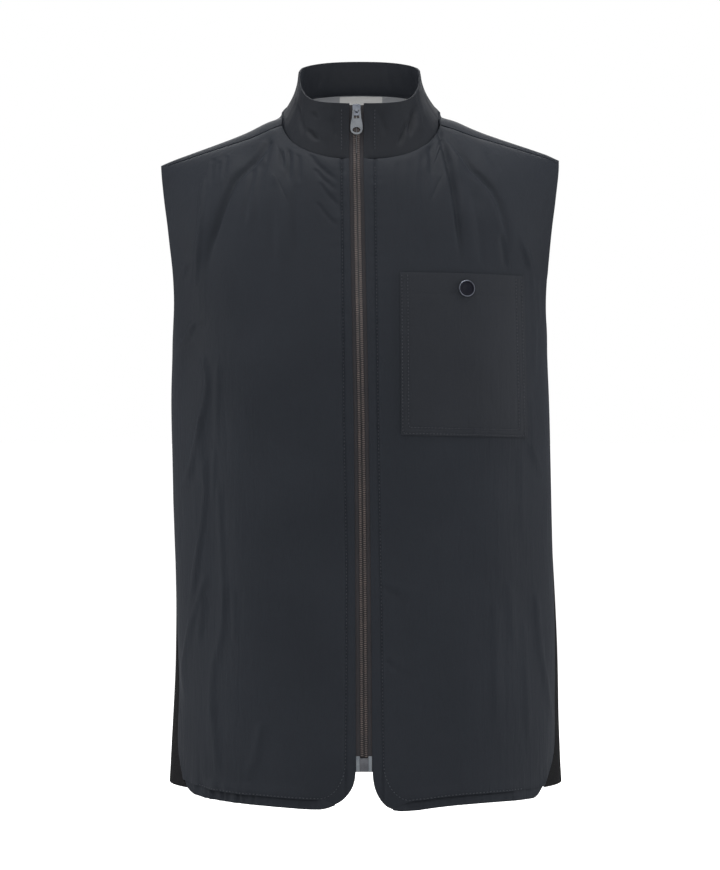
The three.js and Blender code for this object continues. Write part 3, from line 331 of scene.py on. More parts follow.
# %% Shape the fronts
FRONT_UNEVENNESS = {"high": 0.5, "starts_by": 20}
ZIP_PUCKERS = {"high": 0.4, "pitch": 13, "reach": 7}
ZIP_GROOVE = {"deep": 1.3, "half": 1.6}
HEM_ROLL = {"high": 1.6, "gathered": 2.4, "above": 4, "half": 6, "starts_at": 40, "starts_by": 20}
HEM_GATHERS = {"high": 0.8, "pitch": 11, "reach": 14}
SEAM_GROOVE = {"deep": 0.3, "deeper_at_neck": 0.9, "reach": 1.5, "held": 9}
ZIP_STRIP = {"half": 8, "run": 5}
POCKET_BOX = (34, 170, -336, -165)
POCKET_HOLD = {"outside": 6, "run": 8}
GATHERED = {"side": -184, "side_run": 10, "middle": -96, "middle_run": 20}
SIDE_SEAM = {"from_middle": 158, "run": 14}


def under_pocket(points):
    x0, x1, z0, z1 = POCKET_BOX
    x, z = points[:, 0], points[:, 2]
    inside = np.minimum(np.minimum(x - x0, x1 - x), np.minimum(z - z0, z1 - z))
    return soft_step((inside + POCKET_HOLD["outside"]) / POCKET_HOLD["run"])


def gathers_at(x):
    from_side = soft_step((x - GATHERED["side"]) / GATHERED["side_run"])
    return from_side * soft_step((GATHERED["middle"] - x) / GATHERED["middle_run"])


def before_side(x):
    return soft_step((SIDE_SEAM["from_middle"] - np.abs(x)) / SIDE_SEAM["run"])


def shaped_front(side, levels):
    word = "right" if side == RIGHT else "left"
    piece = cloth_of(
        "front_" + word, "front_shell_" + word, levels,
        tucks=[((0, 1, 0), SHOULDER["lowest"])], sharp=36, by_shoulder=True,
    )
    points = points_of(piece)
    x, z = points[:, 0], points[:, 2]
    beside_zip = side * (x - on_line(ZIP_STITCH[side], z))
    lift = folded(points, RIGHT_FOLDS if side == RIGHT else LEFT_FOLDS)
    lift += FRONT_UNEVENNESS["high"] * unevenness(points, 1.3 + side) * soft_step(
        beside_zip / FRONT_UNEVENNESS["starts_by"]
    )
    puckers = ZIP_PUCKERS["high"] * ripple(z, ZIP_PUCKERS["pitch"], 0.7 + side)
    lift += puckers * np.exp(-np.abs(beside_zip) / ZIP_PUCKERS["reach"])
    lift -= ZIP_GROOVE["deep"] * np.exp(-((beside_zip / ZIP_GROOVE["half"]) ** 2))
    above_hem = z - edge_of(x, z, np.min)
    below_seam = edge_of(x, z, np.max) - z
    roll = (HEM_ROLL["high"] + HEM_ROLL["gathered"] * gathers_at(x)) * np.exp(
        -(((above_hem - HEM_ROLL["above"]) / HEM_ROLL["half"]) ** 2)
    )
    lift += roll * soft_step((np.abs(x) - HEM_ROLL["starts_at"]) / HEM_ROLL["starts_by"]) * before_side(x)
    gathers = HEM_GATHERS["high"] * ripple(x, HEM_GATHERS["pitch"], 0.9) * gathers_at(x)
    lift += gathers * np.exp(-above_hem / HEM_GATHERS["reach"])
    at_neck = soft_step((SHOULDER["from_middle"] - np.abs(x)) / 10)
    groove = SEAM_GROOVE["deep"] + SEAM_GROOVE["deeper_at_neck"] * at_neck
    lift -= groove * np.exp(-below_seam / SEAM_GROOVE["reach"])
    lift *= soft_step((side * (x - on_line(ZIP_MIDDLE, z)) - ZIP_STRIP["half"]) / ZIP_STRIP["run"])
    lift *= np.where(np.abs(x) > SHOULDER["from_middle"], soft_step(below_seam / SEAM_GROOVE["held"]), 1)
    if side == LEFT:
        lift *= 1 - under_pocket(points)
    move_points(piece, points + away_from_body(points) * lift[:, None])
    return rounded(piece)


LEVELS = 3
front_right = shaped_front(RIGHT, LEVELS)
front_left = shaped_front(LEFT, LEVELS)
print("fronts:", len(front_right.data.polygons), "and", len(front_left.data.polygons), "faces")

# %% [markdown]
# ## Back, side panels, collar and hem bands
#
# The back is one piece of the same padded shell, with folds like those of the fronts, since the same pulls act
# on it. The side panels are a flat rib knit, so they stay smooth. Their front rims are tucked only above the
# height where the front's corner begins, since further down the panel's own edge closes that corner. The collar
# is a doubled band of shell with a turned top edge, and each hem band is the shell folded to a casing, which lies
# a little behind the front.

# %% Shape the other cloth
BACK_FOLDS = [
    ([(-70, -60), (-96, -104), (-120, -150)], 8, 1.3, -1),
    ([(70, -58), (98, -96), (124, -140)], 8, 1.2, 1),
    ([(-150, -120), (-134, -170), (-120, -220)], 9, -1.1, 1),
    ([(146, -110), (136, -170), (122, -230)], 9, -1.2, -1),
    ([(-140, -330), (-150, -400), (-165, -470)], 8, 1.2, 1),
    ([(150, -350), (156, -430), (168, -500)], 8, 1.3, -1),
    ([(-60, -420), (-78, -500), (-90, -560)], 10, -0.9, 1),
    ([(40, -400), (66, -470), (84, -540)], 10, -0.9, -1),
    ([(-30, -600), (-44, -670)], 8, 0.8, 1),
    ([(60, -590), (52, -668)], 8, -0.8, 1),
    ([(-12, -40), (-16, -150)], 6, 0.7, 1),
    ([(30, -46), (34, -130)], 6, 0.7, -1),
]
BACK_UNEVENNESS = 0.6
BACK_HELD = {"below": -20, "run": 40, "from_seam": 14}


def shaped_back(levels):
    piece = cloth_of("back", "back_shell", levels, sharp=70)
    points = points_of(piece)
    x, z = points[:, 0], points[:, 2]
    lift = folded(points, BACK_FOLDS, gain=1.0) + BACK_UNEVENNESS * unevenness(points, 4.2)
    below_seam = edge_of(x, z, np.max) - z
    lift *= soft_step((BACK_HELD["below"] - z) / BACK_HELD["run"]) * soft_step(below_seam / BACK_HELD["from_seam"])
    move_points(piece, points + away_from_body(points) * lift[:, None])
    return rounded(piece)


back = shaped_back(2)
COLLAR_FOLDS = [
    ([(55, 4), (52, -9), (48, -32)], 2.0, 2.4, 1),
    ([(47, -12), (44, -24), (37, -41)], 2.2, 1.9, 1),
    ([(62, 12), (58, -12), (56, -36)], 4.0, -1.0, 1),
    ([(-66, 12), (-61, -12), (-57, -30)], 2.4, 1.4, -1),
    ([(-57, -20), (-49, -29), (-41, -36)], 2.6, 1.8, 1),
    ([(-51, -4), (-42, -13)], 2.4, 1.1, 1),
    ([(-30, -10), (-24, -34)], 3.0, 0.7, 1),
    ([(18, -2), (24, -30)], 3.4, 0.6, -1),
]
COLLAR_FADE = {**FADE, "top_run": 0.4, "top_start": 0.1}
COLLAR_GROOVE = {"deep": 1.3, "reach": 1.8}
COLLAR_PUCKERS = {"high": 0.3, "pitch": 17}
COLLAR_RADIUS = 75


def shaped_collar(levels):
    piece = cloth_of("collar", "collar_shell", levels, rim=0.6, tucks=[((0, 0, -1), ANYWHERE)])
    points = points_of(piece)
    x, y, z = points.T
    in_front = soft_step((20 - y) / 40)
    above_seam = z - edge_of(y, z, np.min)
    lift = folded(points, COLLAR_FOLDS, gain=1.7, share=0.12, fade=COLLAR_FADE) * in_front
    lift += COLLAR_PUCKERS["high"] * ripple(np.arctan2(y, x) * COLLAR_RADIUS, COLLAR_PUCKERS["pitch"], 2.3)
    lift -= COLLAR_GROOVE["deep"] * np.exp(-above_seam / COLLAR_GROOVE["reach"]) * in_front
    lift *= soft_step((np.abs(x - on_line(ZIP_MIDDLE, z)) - ZIP_STRIP["half"]) / ZIP_STRIP["run"])
    direction = points * np.array([1, 1, 0])
    direction /= np.linalg.norm(direction, axis=1)[:, None]
    move_points(piece, points + direction * lift[:, None])
    return rounded(piece)


collar = shaped_collar(3)
WORDS = ((RIGHT, "right"), (LEFT, "left"))
ABOVE_FRONT_CORNER = -450
SIDE_TUCKS = [((0, -1, 0), ABOVE_FRONT_CORNER), ((0, 1, 0), ANYWHERE)]
sides = {
    side: rounded(cloth_of("side_panel_" + word, "side_knit_" + word, 2, rim=0.4, tucks=SIDE_TUCKS, sharp=36))
    for side, word in WORDS
}
BAND_RIPPLE = {"high": 0.25, "gathered": 0.9, "pitch": 8}
BAND_SETBACK = {"least": 0.6, "more": 1.2, "starts_at": 36, "run": 14}


def shaped_band(word):
    piece = cloth_of("hem_band_" + word, "hem_casing_" + word, 2, rim=0.5, tucks=[((0, 0, 1), ANYWHERE)])
    points = points_of(piece)
    x = points[:, 0]
    strength = BAND_RIPPLE["high"] + (BAND_RIPPLE["gathered"] * gathers_at(x) if word == "right" else 0)
    lift = strength * ripple(x, BAND_RIPPLE["pitch"], 3.1)
    if word != "back":
        setback = BAND_SETBACK["least"] + BAND_SETBACK["more"] * before_side(x)
        lift -= setback * soft_step((np.abs(x) - BAND_SETBACK["starts_at"]) / BAND_SETBACK["run"])
    move_points(piece, points + away_from_body(points) * lift[:, None])
    return rounded(piece)


bands = {word: shaped_band(word) for word in ("right", "left", "back")}
lining = rounded(cloth_of("back_neck_lining", "neck_lining", 2, rim=0.3))
label = rounded(cloth_of("neck_label", "label_blank", 2, rim=0.2))
tapes = {word: rounded(cloth_of("zip_tape_" + word, "woven_tape_" + word, 1, rim=0.2)) for _, word in WORDS}
print("back", len(back.data.polygons), "collar", len(collar.data.polygons), "faces")

# %% [markdown]
# ## The chest pocket
#
# A patch pocket is one layer of cloth with its edges turned in. Two rows of stitches hold the sides and foot, and
# they pull the cloth down in two narrow lines, with small puckers between them. A shallow line below the top shows
# where the turned hem of the pocket ends.

# %% Shape the pocket
POCKET_ROWS = (1.7, 7.6)
POCKET_GROOVE = {"deep": 0.55, "half": 1.2}
POCKET_TURN = {"down": 21, "deep": 0.35, "half": 1.4}
POCKET_PUCKERS = {"high": 0.2, "pitch": 9, "inset": 5, "reach": 5}
POCKET_UNEVENNESS = {"high": 0.4, "starts_by": 20}
POCKET = {"left": (38.5, 39.5), "right": (162, 165.5), "top": (-169.5, -171), "foot": (-330, -332.5)}


def pocket_shares(points):
    x, z = points[:, 0], points[:, 2]
    down = (POCKET["top"][0] - z) / (POCKET["top"][0] - POCKET["foot"][0])
    left = POCKET["left"][0] + (POCKET["left"][1] - POCKET["left"][0]) * down
    right = POCKET["right"][0] + (POCKET["right"][1] - POCKET["right"][0]) * down
    across = (x - left) / (right - left)
    top = POCKET["top"][0] + (POCKET["top"][1] - POCKET["top"][0]) * across
    foot = POCKET["foot"][0] + (POCKET["foot"][1] - POCKET["foot"][0]) * across
    return x - left, right - x, top - z, z - foot


def shaped_pocket(levels):
    piece = cloth_of("chest_pocket", "pocket_patch", levels, rim=0.3)
    points = points_of(piece)
    from_left, from_right, from_top, from_foot = pocket_shares(points)
    nearest = np.minimum(np.minimum(from_left, from_right), from_foot)
    lift = POCKET_UNEVENNESS["high"] * unevenness(points, 0.4) * soft_step(nearest / POCKET_UNEVENNESS["starts_by"])
    for row in POCKET_ROWS:
        lift -= POCKET_GROOVE["deep"] * np.exp(-(((nearest - row) / POCKET_GROOVE["half"]) ** 2))
    along = np.where(nearest == from_foot, points[:, 0], points[:, 2])
    puckers = POCKET_PUCKERS["high"] * ripple(along, POCKET_PUCKERS["pitch"], 1.9)
    lift += puckers * np.exp(-np.abs(nearest - POCKET_PUCKERS["inset"]) / POCKET_PUCKERS["reach"])
    lift -= POCKET_TURN["deep"] * np.exp(-(((from_top - POCKET_TURN["down"]) / POCKET_TURN["half"]) ** 2))
    move_points(piece, points + away_from_body(points) * lift[:, None])
    return rounded(piece)


pocket = shaped_pocket(3)
print("pocket", len(pocket.data.polygons), "faces")

# %% [markdown]
# ## Which solids these pieces stand for
#
# Each piece says which CAD node it replaces and which body carries it.

# %% Tie the cloth to the frame
BODY = "vest"


def tie(piece, slot, *nodes):
    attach(piece, BODY)
    if nodes:
        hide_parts(*nodes)
    return piece


tie(front_right, "shell", "front_right")
tie(front_left, "shell", "front_left")
tie(back, "shell", "back")
tie(collar, "shell", "collar")
tie(pocket, "shell", "chest_pocket")
for word, band in bands.items():
    tie(band, "shell", "hem_band_" + word)
tie(sides[RIGHT], "knit", "side_panel_right")
tie(sides[LEFT], "knit", "side_panel_left")
tie(lining, "lining", "back_neck_lining")
tie(label, "label", "neck_label")
for word, tape in tapes.items():
    tie(tape, "zip_tape", "zip_tape_" + word)
print("cloth rides on", BODY)

# %% [markdown]
# ## Stitches
#
# A stitch that shows is a short piece of thread that dips into the cloth at both ends. One is modelled: a
# six-sided cylinder, thinned at its ends. It is then copied along each seam, with a gap after each copy, so that
# the row reads as single stitches. The place of every stitch is found by looking from outside onto the finished
# cloth, so that the row follows all its folds.


# %% Model one stitch and learn to sew with it
STITCH_FORM = {"thinned": 0.55, "dips": 0.35}


def one_stitch():
    bpy.ops.mesh.primitive_cylinder_add(vertices=6, radius=0.5, depth=1, location=(0, 0, 0))
    stitch = bpy.context.object
    stitch.name = "stitch_pattern"
    bpy.ops.object.mode_set(mode="EDIT")
    bpy.ops.mesh.select_all(action="SELECT")
    bpy.ops.mesh.subdivide(number_cuts=1)
    bpy.ops.object.mode_set(mode="OBJECT")
    shape = np.array([v.co for v in stitch.data.vertices])
    shape[:, :2] *= (1 - STITCH_FORM["thinned"] * (2 * np.abs(shape[:, 2:3])) ** 2)
    faces = [tuple(f.vertices) for f in stitch.data.polygons]
    bpy.data.objects.remove(stitch)
    return shape, faces


STITCH, STITCH_FACES = one_stitch()


def tree_of(*pieces):
    points, faces = [], []
    for piece in pieces:
        start = len(points)
        points += [v.co.copy() for v in piece.data.vertices]
        faces += [[start + i for i in f.vertices] for f in piece.data.polygons]
    return BVHTree.FromPolygons(points, faces)


def seen_from(tree, origin, towards):
    place, normal, _, _ = tree.ray_cast(Vector(origin) * MM, Vector(towards).normalized())
    if place is None:
        return None
    return place / MM, normal if normal.dot(Vector(towards)) < 0 else -normal


def spaced_along(line, pitch):
    found, carried = [], 0.0
    for a, b in zip(line, line[1:]):
        run = (b[0] - a[0]).length
        while carried < run:
            share = carried / run
            found.append((a[0].lerp(b[0], share), a[1].lerp(b[1], share).normalized()))
            carried += pitch
        carried -= run
    return found


def add_copy(points, faces, shape, turn, middle):
    start = len(points)
    points += [middle + turn @ Vector(corner) for corner in shape]
    faces += [tuple(start + i for i in face) for face in STITCH_FACES]


def new_piece(name, points, faces):
    mesh = bpy.data.meshes.new(name)
    mesh.from_pydata([p * MM for p in points], [], faces)
    mesh.validate()
    piece = bpy.data.objects.new(name, mesh)
    bpy.context.scene.collection.objects.link(piece)
    select_only(piece)
    bpy.ops.object.shade_smooth()
    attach(piece, BODY)
    print(name, len(points) // len(STITCH), "copies")
    return piece


def sewn(name, lines, pitch=3.6, length=1.8, thread=0.8, sunk=0.05):
    shape = STITCH * (thread, thread, length)
    shape[:, 1] -= STITCH_FORM["dips"] * thread * (2 * np.abs(STITCH[:, 2])) ** 2
    points, faces = [], []
    for line in lines:
        ends = spaced_along([p for p in line if p is not None], pitch)
        for (at, out), (to, _) in zip(ends, ends[1:]):
            ahead = (to - at).normalized()
            across = ahead.cross(out).normalized()
            up = across.cross(ahead)
            turn = Matrix((across, up, ahead)).transposed()
            middle = at + out * (thread / 2 - sunk) + ahead * (pitch / 2)
            add_copy(points, faces, shape, turn, middle)
    return new_piece(name, points, faces)


# %% [markdown]
# On each front one row runs down beside the zip, turns the rounded corner and goes on along the hem. A short row
# beside the zip closes the collar, and two rows hold the pocket.

# %% Sew beside the zip, along the hem and round the pocket
FRONT_TREE = {RIGHT: tree_of(front_right), LEFT: tree_of(front_left)}
COLLAR_TREE = tree_of(collar)
HEM_TURN = -650
HEM_END = 164
HEM_INSET = 1.2
CORNER_RADIUS = 26
CORNER_STEPS = 12


def from_front(tree, x, z):
    return seen_from(tree, (x, -400, z), (0, 1, 0))


def lower_edge(tree, x):
    return next((z for z in np.arange(-704, -640, 0.5) if from_front(tree, x, z)), None)


def zip_and_hem_line(side):
    tree = FRONT_TREE[side]
    line = [from_front(tree, on_line(ZIP_STITCH[side], z), z) for z in np.arange(-62, HEM_TURN, -4.0)]
    start = on_line(ZIP_STITCH[side], HEM_TURN)
    level = lower_edge(tree, start + side * CORNER_RADIUS) + HEM_INSET
    for step in range(1, CORNER_STEPS):
        angle = step / CORNER_STEPS * math.pi / 2
        x = start + side * CORNER_RADIUS * (1 - math.cos(angle))
        line.append(from_front(tree, x, HEM_TURN + (level - HEM_TURN) * math.sin(angle)))
    for distance in np.arange(abs(start) + CORNER_RADIUS + 1, HEM_END, 4.0):
        line.append(from_front(tree, side * distance, lower_edge(tree, side * distance) + HEM_INSET))
    return line


def collar_line(side):
    return [from_front(COLLAR_TREE, on_line(ZIP_STITCH[side], z), z) for z in np.arange(-3, -51, -3.0)]


stitch_zip = {
    side: sewn("stitches_zip_" + word, [zip_and_hem_line(side), collar_line(side)])
    for side, word in WORDS
}
POCKET_TREE = tree_of(pocket)


def pocket_line(inset):
    corners = [
        (POCKET["left"][0] + inset, POCKET["top"][0] - 1.5),
        (POCKET["left"][1] + inset, POCKET["foot"][0] + inset),
        (POCKET["right"][1] - inset, POCKET["foot"][1] + inset),
        (POCKET["right"][0] - inset, POCKET["top"][1] - 1.5),
    ]
    line = []
    for (x0, z0), (x1, z1) in zip(corners, corners[1:]):
        steps = int(math.hypot(x1 - x0, z1 - z0) / 3)
        for i in range(steps + 1):
            share = i / steps
            line.append(from_front(POCKET_TREE, x0 + (x1 - x0) * share, z0 + (z1 - z0) * share))
    return line


stitch_pocket = sewn("stitches_pocket", [pocket_line(inset) for inset in POCKET_ROWS], pitch=3.4, length=1.7)

# %% [markdown]
# ## The zip's coil
#
# A coil zip closes with two plastic spirals whose loops lock in turn. From outside each loop is a short bar that
# slopes a little. The bars of the two sides stop short of the middle, so that a dark line is left between them:
# there the coil's body shows, coloured darker as painted shade. The bar is a copy of the stitch, thickened, and
# is repeated up both sides at an even pitch.

# %% Repeat the coil's loops
COIL_NODES = {RIGHT: "zip_coil_right", LEFT: "zip_coil_left"}
LOOP = {"thick": 1.35, "high": 1.1, "long": 2.7, "from_middle": 2.1, "slope": 0.12, "above": 0.12, "seen_at": 1.8}


def coil_loops(side, pitch=2.1):
    word = "right" if side == RIGHT else "left"
    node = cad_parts[COIL_NODES[side]]
    tree = tree_of(node)
    low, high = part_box(node.name)
    shape = STITCH * (LOOP["thick"], LOOP["high"], LOOP["long"])
    points, faces = [], []
    z = low.z / MM + 1 + (0 if side == LEFT else pitch / 2)
    while z < high.z / MM - 1:
        middle = on_line(ZIP_MIDDLE, z)
        found = from_front(tree, middle + side * LOOP["seen_at"], z)
        if found:
            at, out = found
            ahead = Vector((side, 0, LOOP["slope"])).normalized()
            across = ahead.cross(out).normalized()
            turn = Matrix((across, out, ahead)).transposed()
            centre = Vector((middle + side * LOOP["from_middle"], at.y, z)) + out * LOOP["above"]
            add_copy(points, faces, shape, turn, centre)
        z += pitch
    piece = new_piece("coil_loops_" + word, points, faces)
    return piece


loops = {side: coil_loops(side) for side in (RIGHT, LEFT)}

# %% [markdown]
# ## Finishes
#
# Several materials share the same effects, so each effect is a node group with named inputs: a close weave, a
# crinkle of thin nylon, fine upright wrinkles that grow towards the sides and the hem, and a slow change of tone.
# They put out heights and masks, and each material decides how strongly it uses them.


# %% Node helpers and shared groups
def new_group(name, inputs, outputs):
    group = bpy.data.node_groups.new(name, "ShaderNodeTree")
    for label_text, default in inputs:
        socket = group.interface.new_socket(label_text, in_out="INPUT", socket_type="NodeSocketFloat")
        socket.default_value = default
    for label_text in outputs:
        group.interface.new_socket(label_text, in_out="OUTPUT", socket_type="NodeSocketFloat")
    return group, group.nodes.new("NodeGroupInput"), group.nodes.new("NodeGroupOutput")


def math_node(tree, operation, first, second=None, third=None):
    node = tree.nodes.new("ShaderNodeMath")
    node.operation = operation
    for socket, value in zip(node.inputs, (first, second, third)):
        if value is None:
            continue
        if isinstance(value, (int, float)):
            socket.default_value = value
        else:
            tree.links.new(value, socket)
    return node.outputs[0]


def noise_node(tree, vector, scale, detail=3.0, roughness=0.55, distortion=0.0):
    node = tree.nodes.new("ShaderNodeTexNoise")
    tree.links.new(vector, node.inputs["Vector"])
    if isinstance(scale, (int, float)):
        node.inputs["Scale"].default_value = scale
    else:
        tree.links.new(scale, node.inputs["Scale"])
    node.inputs["Detail"].default_value = detail
    node.inputs["Roughness"].default_value = roughness
    node.inputs["Distortion"].default_value = distortion
    return node.outputs["Fac"]


def own_place(tree):
    return tree.nodes.new("ShaderNodeTexCoord").outputs["Object"]


def split_place(tree):
    parts = tree.nodes.new("ShaderNodeSeparateXYZ")
    tree.links.new(own_place(tree), parts.inputs[0])
    return parts.outputs


def stretched_place(tree, scale):
    stretch = tree.nodes.new("ShaderNodeMapping")
    stretch.inputs["Scale"].default_value = scale
    tree.links.new(own_place(tree), stretch.inputs["Vector"])
    return stretch.outputs[0]


def spread(tree, value, start, end, low=0.0, high=1.0):
    node = tree.nodes.new("ShaderNodeMapRange")
    for key, setting in (("From Min", start), ("From Max", end), ("To Min", low), ("To Max", high)):
        node.inputs[key].default_value = setting
    tree.links.new(value, node.inputs["Value"])
    return node.outputs[0]


def weave_group():
    group, entry, leave = new_group("close_weave", [("Threads per metre", 2500.0)], ["Height"])
    sideways, back, up = split_place(group)
    rate = math_node(group, "MULTIPLY", entry.outputs[0], math.pi)
    round_body = math_node(group, "ADD", sideways, back)
    warp = math_node(group, "SINE", math_node(group, "MULTIPLY", round_body, rate))
    weft = math_node(group, "SINE", math_node(group, "MULTIPLY", up, rate))
    warp_height = math_node(group, "MULTIPLY", warp, warp)
    height = math_node(group, "ADD", warp_height, math_node(group, "MULTIPLY", weft, weft))
    group.links.new(math_node(group, "MULTIPLY", height, 0.5), leave.inputs[0])
    return group


def crinkle_group():
    group, entry, leave = new_group("nylon_crinkle", [("Creases per metre", 55.0), ("Fine share", 0.35)], ["Height"])
    place = stretched_place(group, (1.6, 1.0, 0.55))
    broad = noise_node(group, place, entry.outputs[0], detail=2.0, roughness=0.5, distortion=0.8)
    fold = math_node(group, "ABSOLUTE", math_node(group, "SUBTRACT", broad, 0.5))
    closer = math_node(group, "MULTIPLY", entry.outputs[0], 3.4)
    finer = noise_node(group, place, closer, detail=2.0, roughness=0.5, distortion=0.4)
    mixed = math_node(group, "ADD", fold, math_node(group, "MULTIPLY", finer, entry.outputs[1]))
    group.links.new(mixed, leave.inputs[0])
    return group


def wrinkle_group():
    group, entry, leave = new_group("upright_wrinkles", [("Wrinkles per metre", 190.0)], ["Height"])
    place = stretched_place(group, (1.0, 0.6, 0.08))
    streaks = noise_node(group, place, entry.outputs[0], detail=3.0, roughness=0.6, distortion=0.5)
    sideways, _, up = split_place(group)
    beside = spread(group, math_node(group, "ABSOLUTE", sideways), start=0.09, end=0.16)
    below = spread(group, math_node(group, "MULTIPLY", up, -1.0), start=0.16, end=0.34)
    mask = math_node(group, "MULTIPLY", math_node(group, "MULTIPLY_ADD", beside, 0.85, 0.15), below)
    group.links.new(math_node(group, "MULTIPLY", streaks, mask), leave.inputs[0])
    return group


def tone_group():
    inputs = [("Patches per metre", 9.0), ("Speckles per metre", 700.0)]
    group, entry, leave = new_group("uneven_tone", inputs, ["Tone"])
    slow = noise_node(group, own_place(group), entry.outputs[0], detail=3.0)
    fine = noise_node(group, own_place(group), entry.outputs[1], detail=1.0)
    mixed = math_node(group, "ADD", math_node(group, "MULTIPLY", slow, 0.7), math_node(group, "MULTIPLY", fine, 0.3))
    group.links.new(mixed, leave.inputs[0])
    return group


GROUPS = {"weave": weave_group(), "crinkle": crinkle_group(), "wrinkles": wrinkle_group(), "tone": tone_group()}


def place_group(tree, name, **values):
    node = tree.nodes.new("ShaderNodeGroup")
    node.node_tree = GROUPS[name]
    for key, value in values.items():
        node.inputs[key.replace("_", " ")].default_value = value
    return node.outputs[0]


def linear(red, green, blue):
    def one(value):
        value /= 255
        return value / 12.92 if value <= 0.04045 else ((value + 0.055) / 1.055) ** 2.4

    return (one(red), one(green), one(blue), 1)


def new_material(name, **sockets):
    material = bpy.data.materials.new(name)
    material.use_nodes = True
    shader = material.node_tree.nodes["Principled BSDF"]
    for key, value in sockets.items():
        shader.inputs[key.replace("_", " ")].default_value = value
    return material, material.node_tree, shader


def colour_between(tree, factor, dark, light, shader, low=0.35, high=0.65):
    ramp = tree.nodes.new("ShaderNodeValToRGB")
    ramp.color_ramp.elements[0].position = low
    ramp.color_ramp.elements[1].position = high
    ramp.color_ramp.elements[0].color = dark
    ramp.color_ramp.elements[1].color = light
    tree.links.new(factor, ramp.inputs[0])
    tree.links.new(ramp.outputs[0], shader.inputs["Base Color"])


def bump(tree, shader, height, strength, distance, before=None):
    node = tree.nodes.new("ShaderNodeBump")
    node.inputs["Strength"].default_value = strength
    node.inputs["Distance"].default_value = distance * MM
    tree.links.new(height, node.inputs["Height"])
    if before is not None:
        tree.links.new(before, node.inputs["Normal"])
    tree.links.new(node.outputs[0], shader.inputs["Normal"])
    return node.outputs[0]


def roughness_between(tree, shader, factor, low, high):
    tree.links.new(spread(tree, factor, 0.0, 1.0, low, high), shader.inputs["Roughness"])


# %% [markdown]
# The shell nylon is smooth and nearly matt, so its folds are drawn by light and shade and not by glints. The
# collar and the pocket are the same cloth; the collar's copy is darker as painted shade and the pocket's copy is
# lighter as painted light. The knit has ribs and rows from two sine waves, and its colour is darker in the rib
# troughs as painted shade. The lining, label, tape and thread share one woven finish.

# %% Cloth finishes
def shell_material(name, dark, light, creases=55.0):
    material, tree, shader = new_material(
        name, Specular_IOR_Level=0.22, Sheen_Weight=0.03, Sheen_Roughness=0.4,
    )
    shader.inputs["Sheen Tint"].default_value = (0.75, 0.82, 1.0, 1)
    tone = place_group(tree, "tone")
    colour_between(tree, tone, dark, light, shader)
    roughness_between(tree, shader, tone, low=0.58, high=0.72)
    crinkle = place_group(tree, "crinkle", Creases_per_metre=creases)
    crinkled = bump(tree, shader, crinkle, strength=0.5, distance=1.1)
    wrinkled = bump(tree, shader, place_group(tree, "wrinkles"), strength=0.5, distance=2.2, before=crinkled)
    bump(tree, shader, place_group(tree, "weave"), strength=0.25, distance=0.12, before=wrinkled)
    return material


shell_finish = shell_material("shell_nylon", linear(32, 36, 43), linear(38, 42, 49))
# Painted shade and light: the collar's copy of the shell nylon is darker, and the pocket's copy is lighter.
collar_painted_shade_finish = shell_material("collar_nylon_painted_shade", linear(26, 29, 35), linear(32, 35, 41), 40.0)
pocket_painted_light_finish = shell_material("pocket_nylon_painted_light", linear(36, 39, 45), linear(42, 45, 51), 40.0)
RIB_PITCH = 2.4 * MM
ROW_PITCH = 1.8 * MM


def knit_material():
    material, tree, shader = new_material("rib_knit", Specular_IOR_Level=0.1)
    _, back, up = split_place(tree)
    ribs = math_node(tree, "SINE", math_node(tree, "MULTIPLY", back, 2 * math.pi / RIB_PITCH))
    rows = math_node(tree, "SINE", math_node(tree, "MULTIPLY", up, 2 * math.pi / ROW_PITCH))
    height = math_node(tree, "ADD", ribs, math_node(tree, "MULTIPLY", rows, 0.35))
    # Painted shade: the colour is darker in the troughs of the ribs and lighter on their crests.
    rib_painted_shade = math_node(tree, "MULTIPLY_ADD", ribs, 0.25)
    colour_between(tree, rib_painted_shade, linear(26, 26, 28), linear(36, 36, 38), shader, 0.0, 1.0)
    shader.inputs["Roughness"].default_value = 0.9
    bump(tree, shader, height, strength=0.7, distance=0.5)
    return material


knit_finish = knit_material()


def woven_material(name, dark, light, threads, roughness, **sockets):
    material, tree, shader = new_material(name, Roughness=roughness, **sockets)
    colour_between(tree, place_group(tree, "tone"), dark, light, shader)
    bump(tree, shader, place_group(tree, "weave", Threads_per_metre=threads), strength=0.5, distance=0.3)
    return material


lining_finish = woven_material(
    "lining_twill", linear(136, 138, 142), linear(146, 148, 152), 2200, 0.55, Specular_IOR_Level=0.4,
)
label_finish = woven_material("label_damask", linear(192, 192, 191), linear(203, 203, 202), 1800, 0.7)
tape_finish = woven_material("zip_tape_weave", linear(48, 47, 51), linear(61, 58, 61), 900, 0.8)
thread_finish = woven_material("thread", linear(55, 59, 66), linear(69, 73, 81), 3000, 0.6)


# %% [markdown]
# The coil's loops are satin plastic, and the coil's body under them is a darker copy of that plastic as painted
# shade. The tab and box are cast zinc, the slider is a darker copy of the same zinc as painted shade, and a clear
# film stiffens the tape's foot. The snap is one cap: its colour depends on the distance from its middle, navy
# enamel inside and bare metal round the rim.

# %% Hard finishes
def coil_material(name, dark, light):
    material, tree, shader = new_material(name, Roughness=0.42, Specular_IOR_Level=0.5)
    colour_between(tree, place_group(tree, "tone", Patches_per_metre=60.0), dark, light, shader)
    return material


def metal_material(name, dark, light, low, high):
    material, tree, shader = new_material(name, Metallic=1.0)
    tone = place_group(tree, "tone", Patches_per_metre=90.0, Speckles_per_metre=2500.0)
    colour_between(tree, tone, dark, light, shader)
    roughness_between(tree, shader, tone, low, high)
    bump(tree, shader, tone, strength=0.2, distance=0.05)
    return material


SNAP_RING = {"inner": 0.0073, "outer": 0.0077}


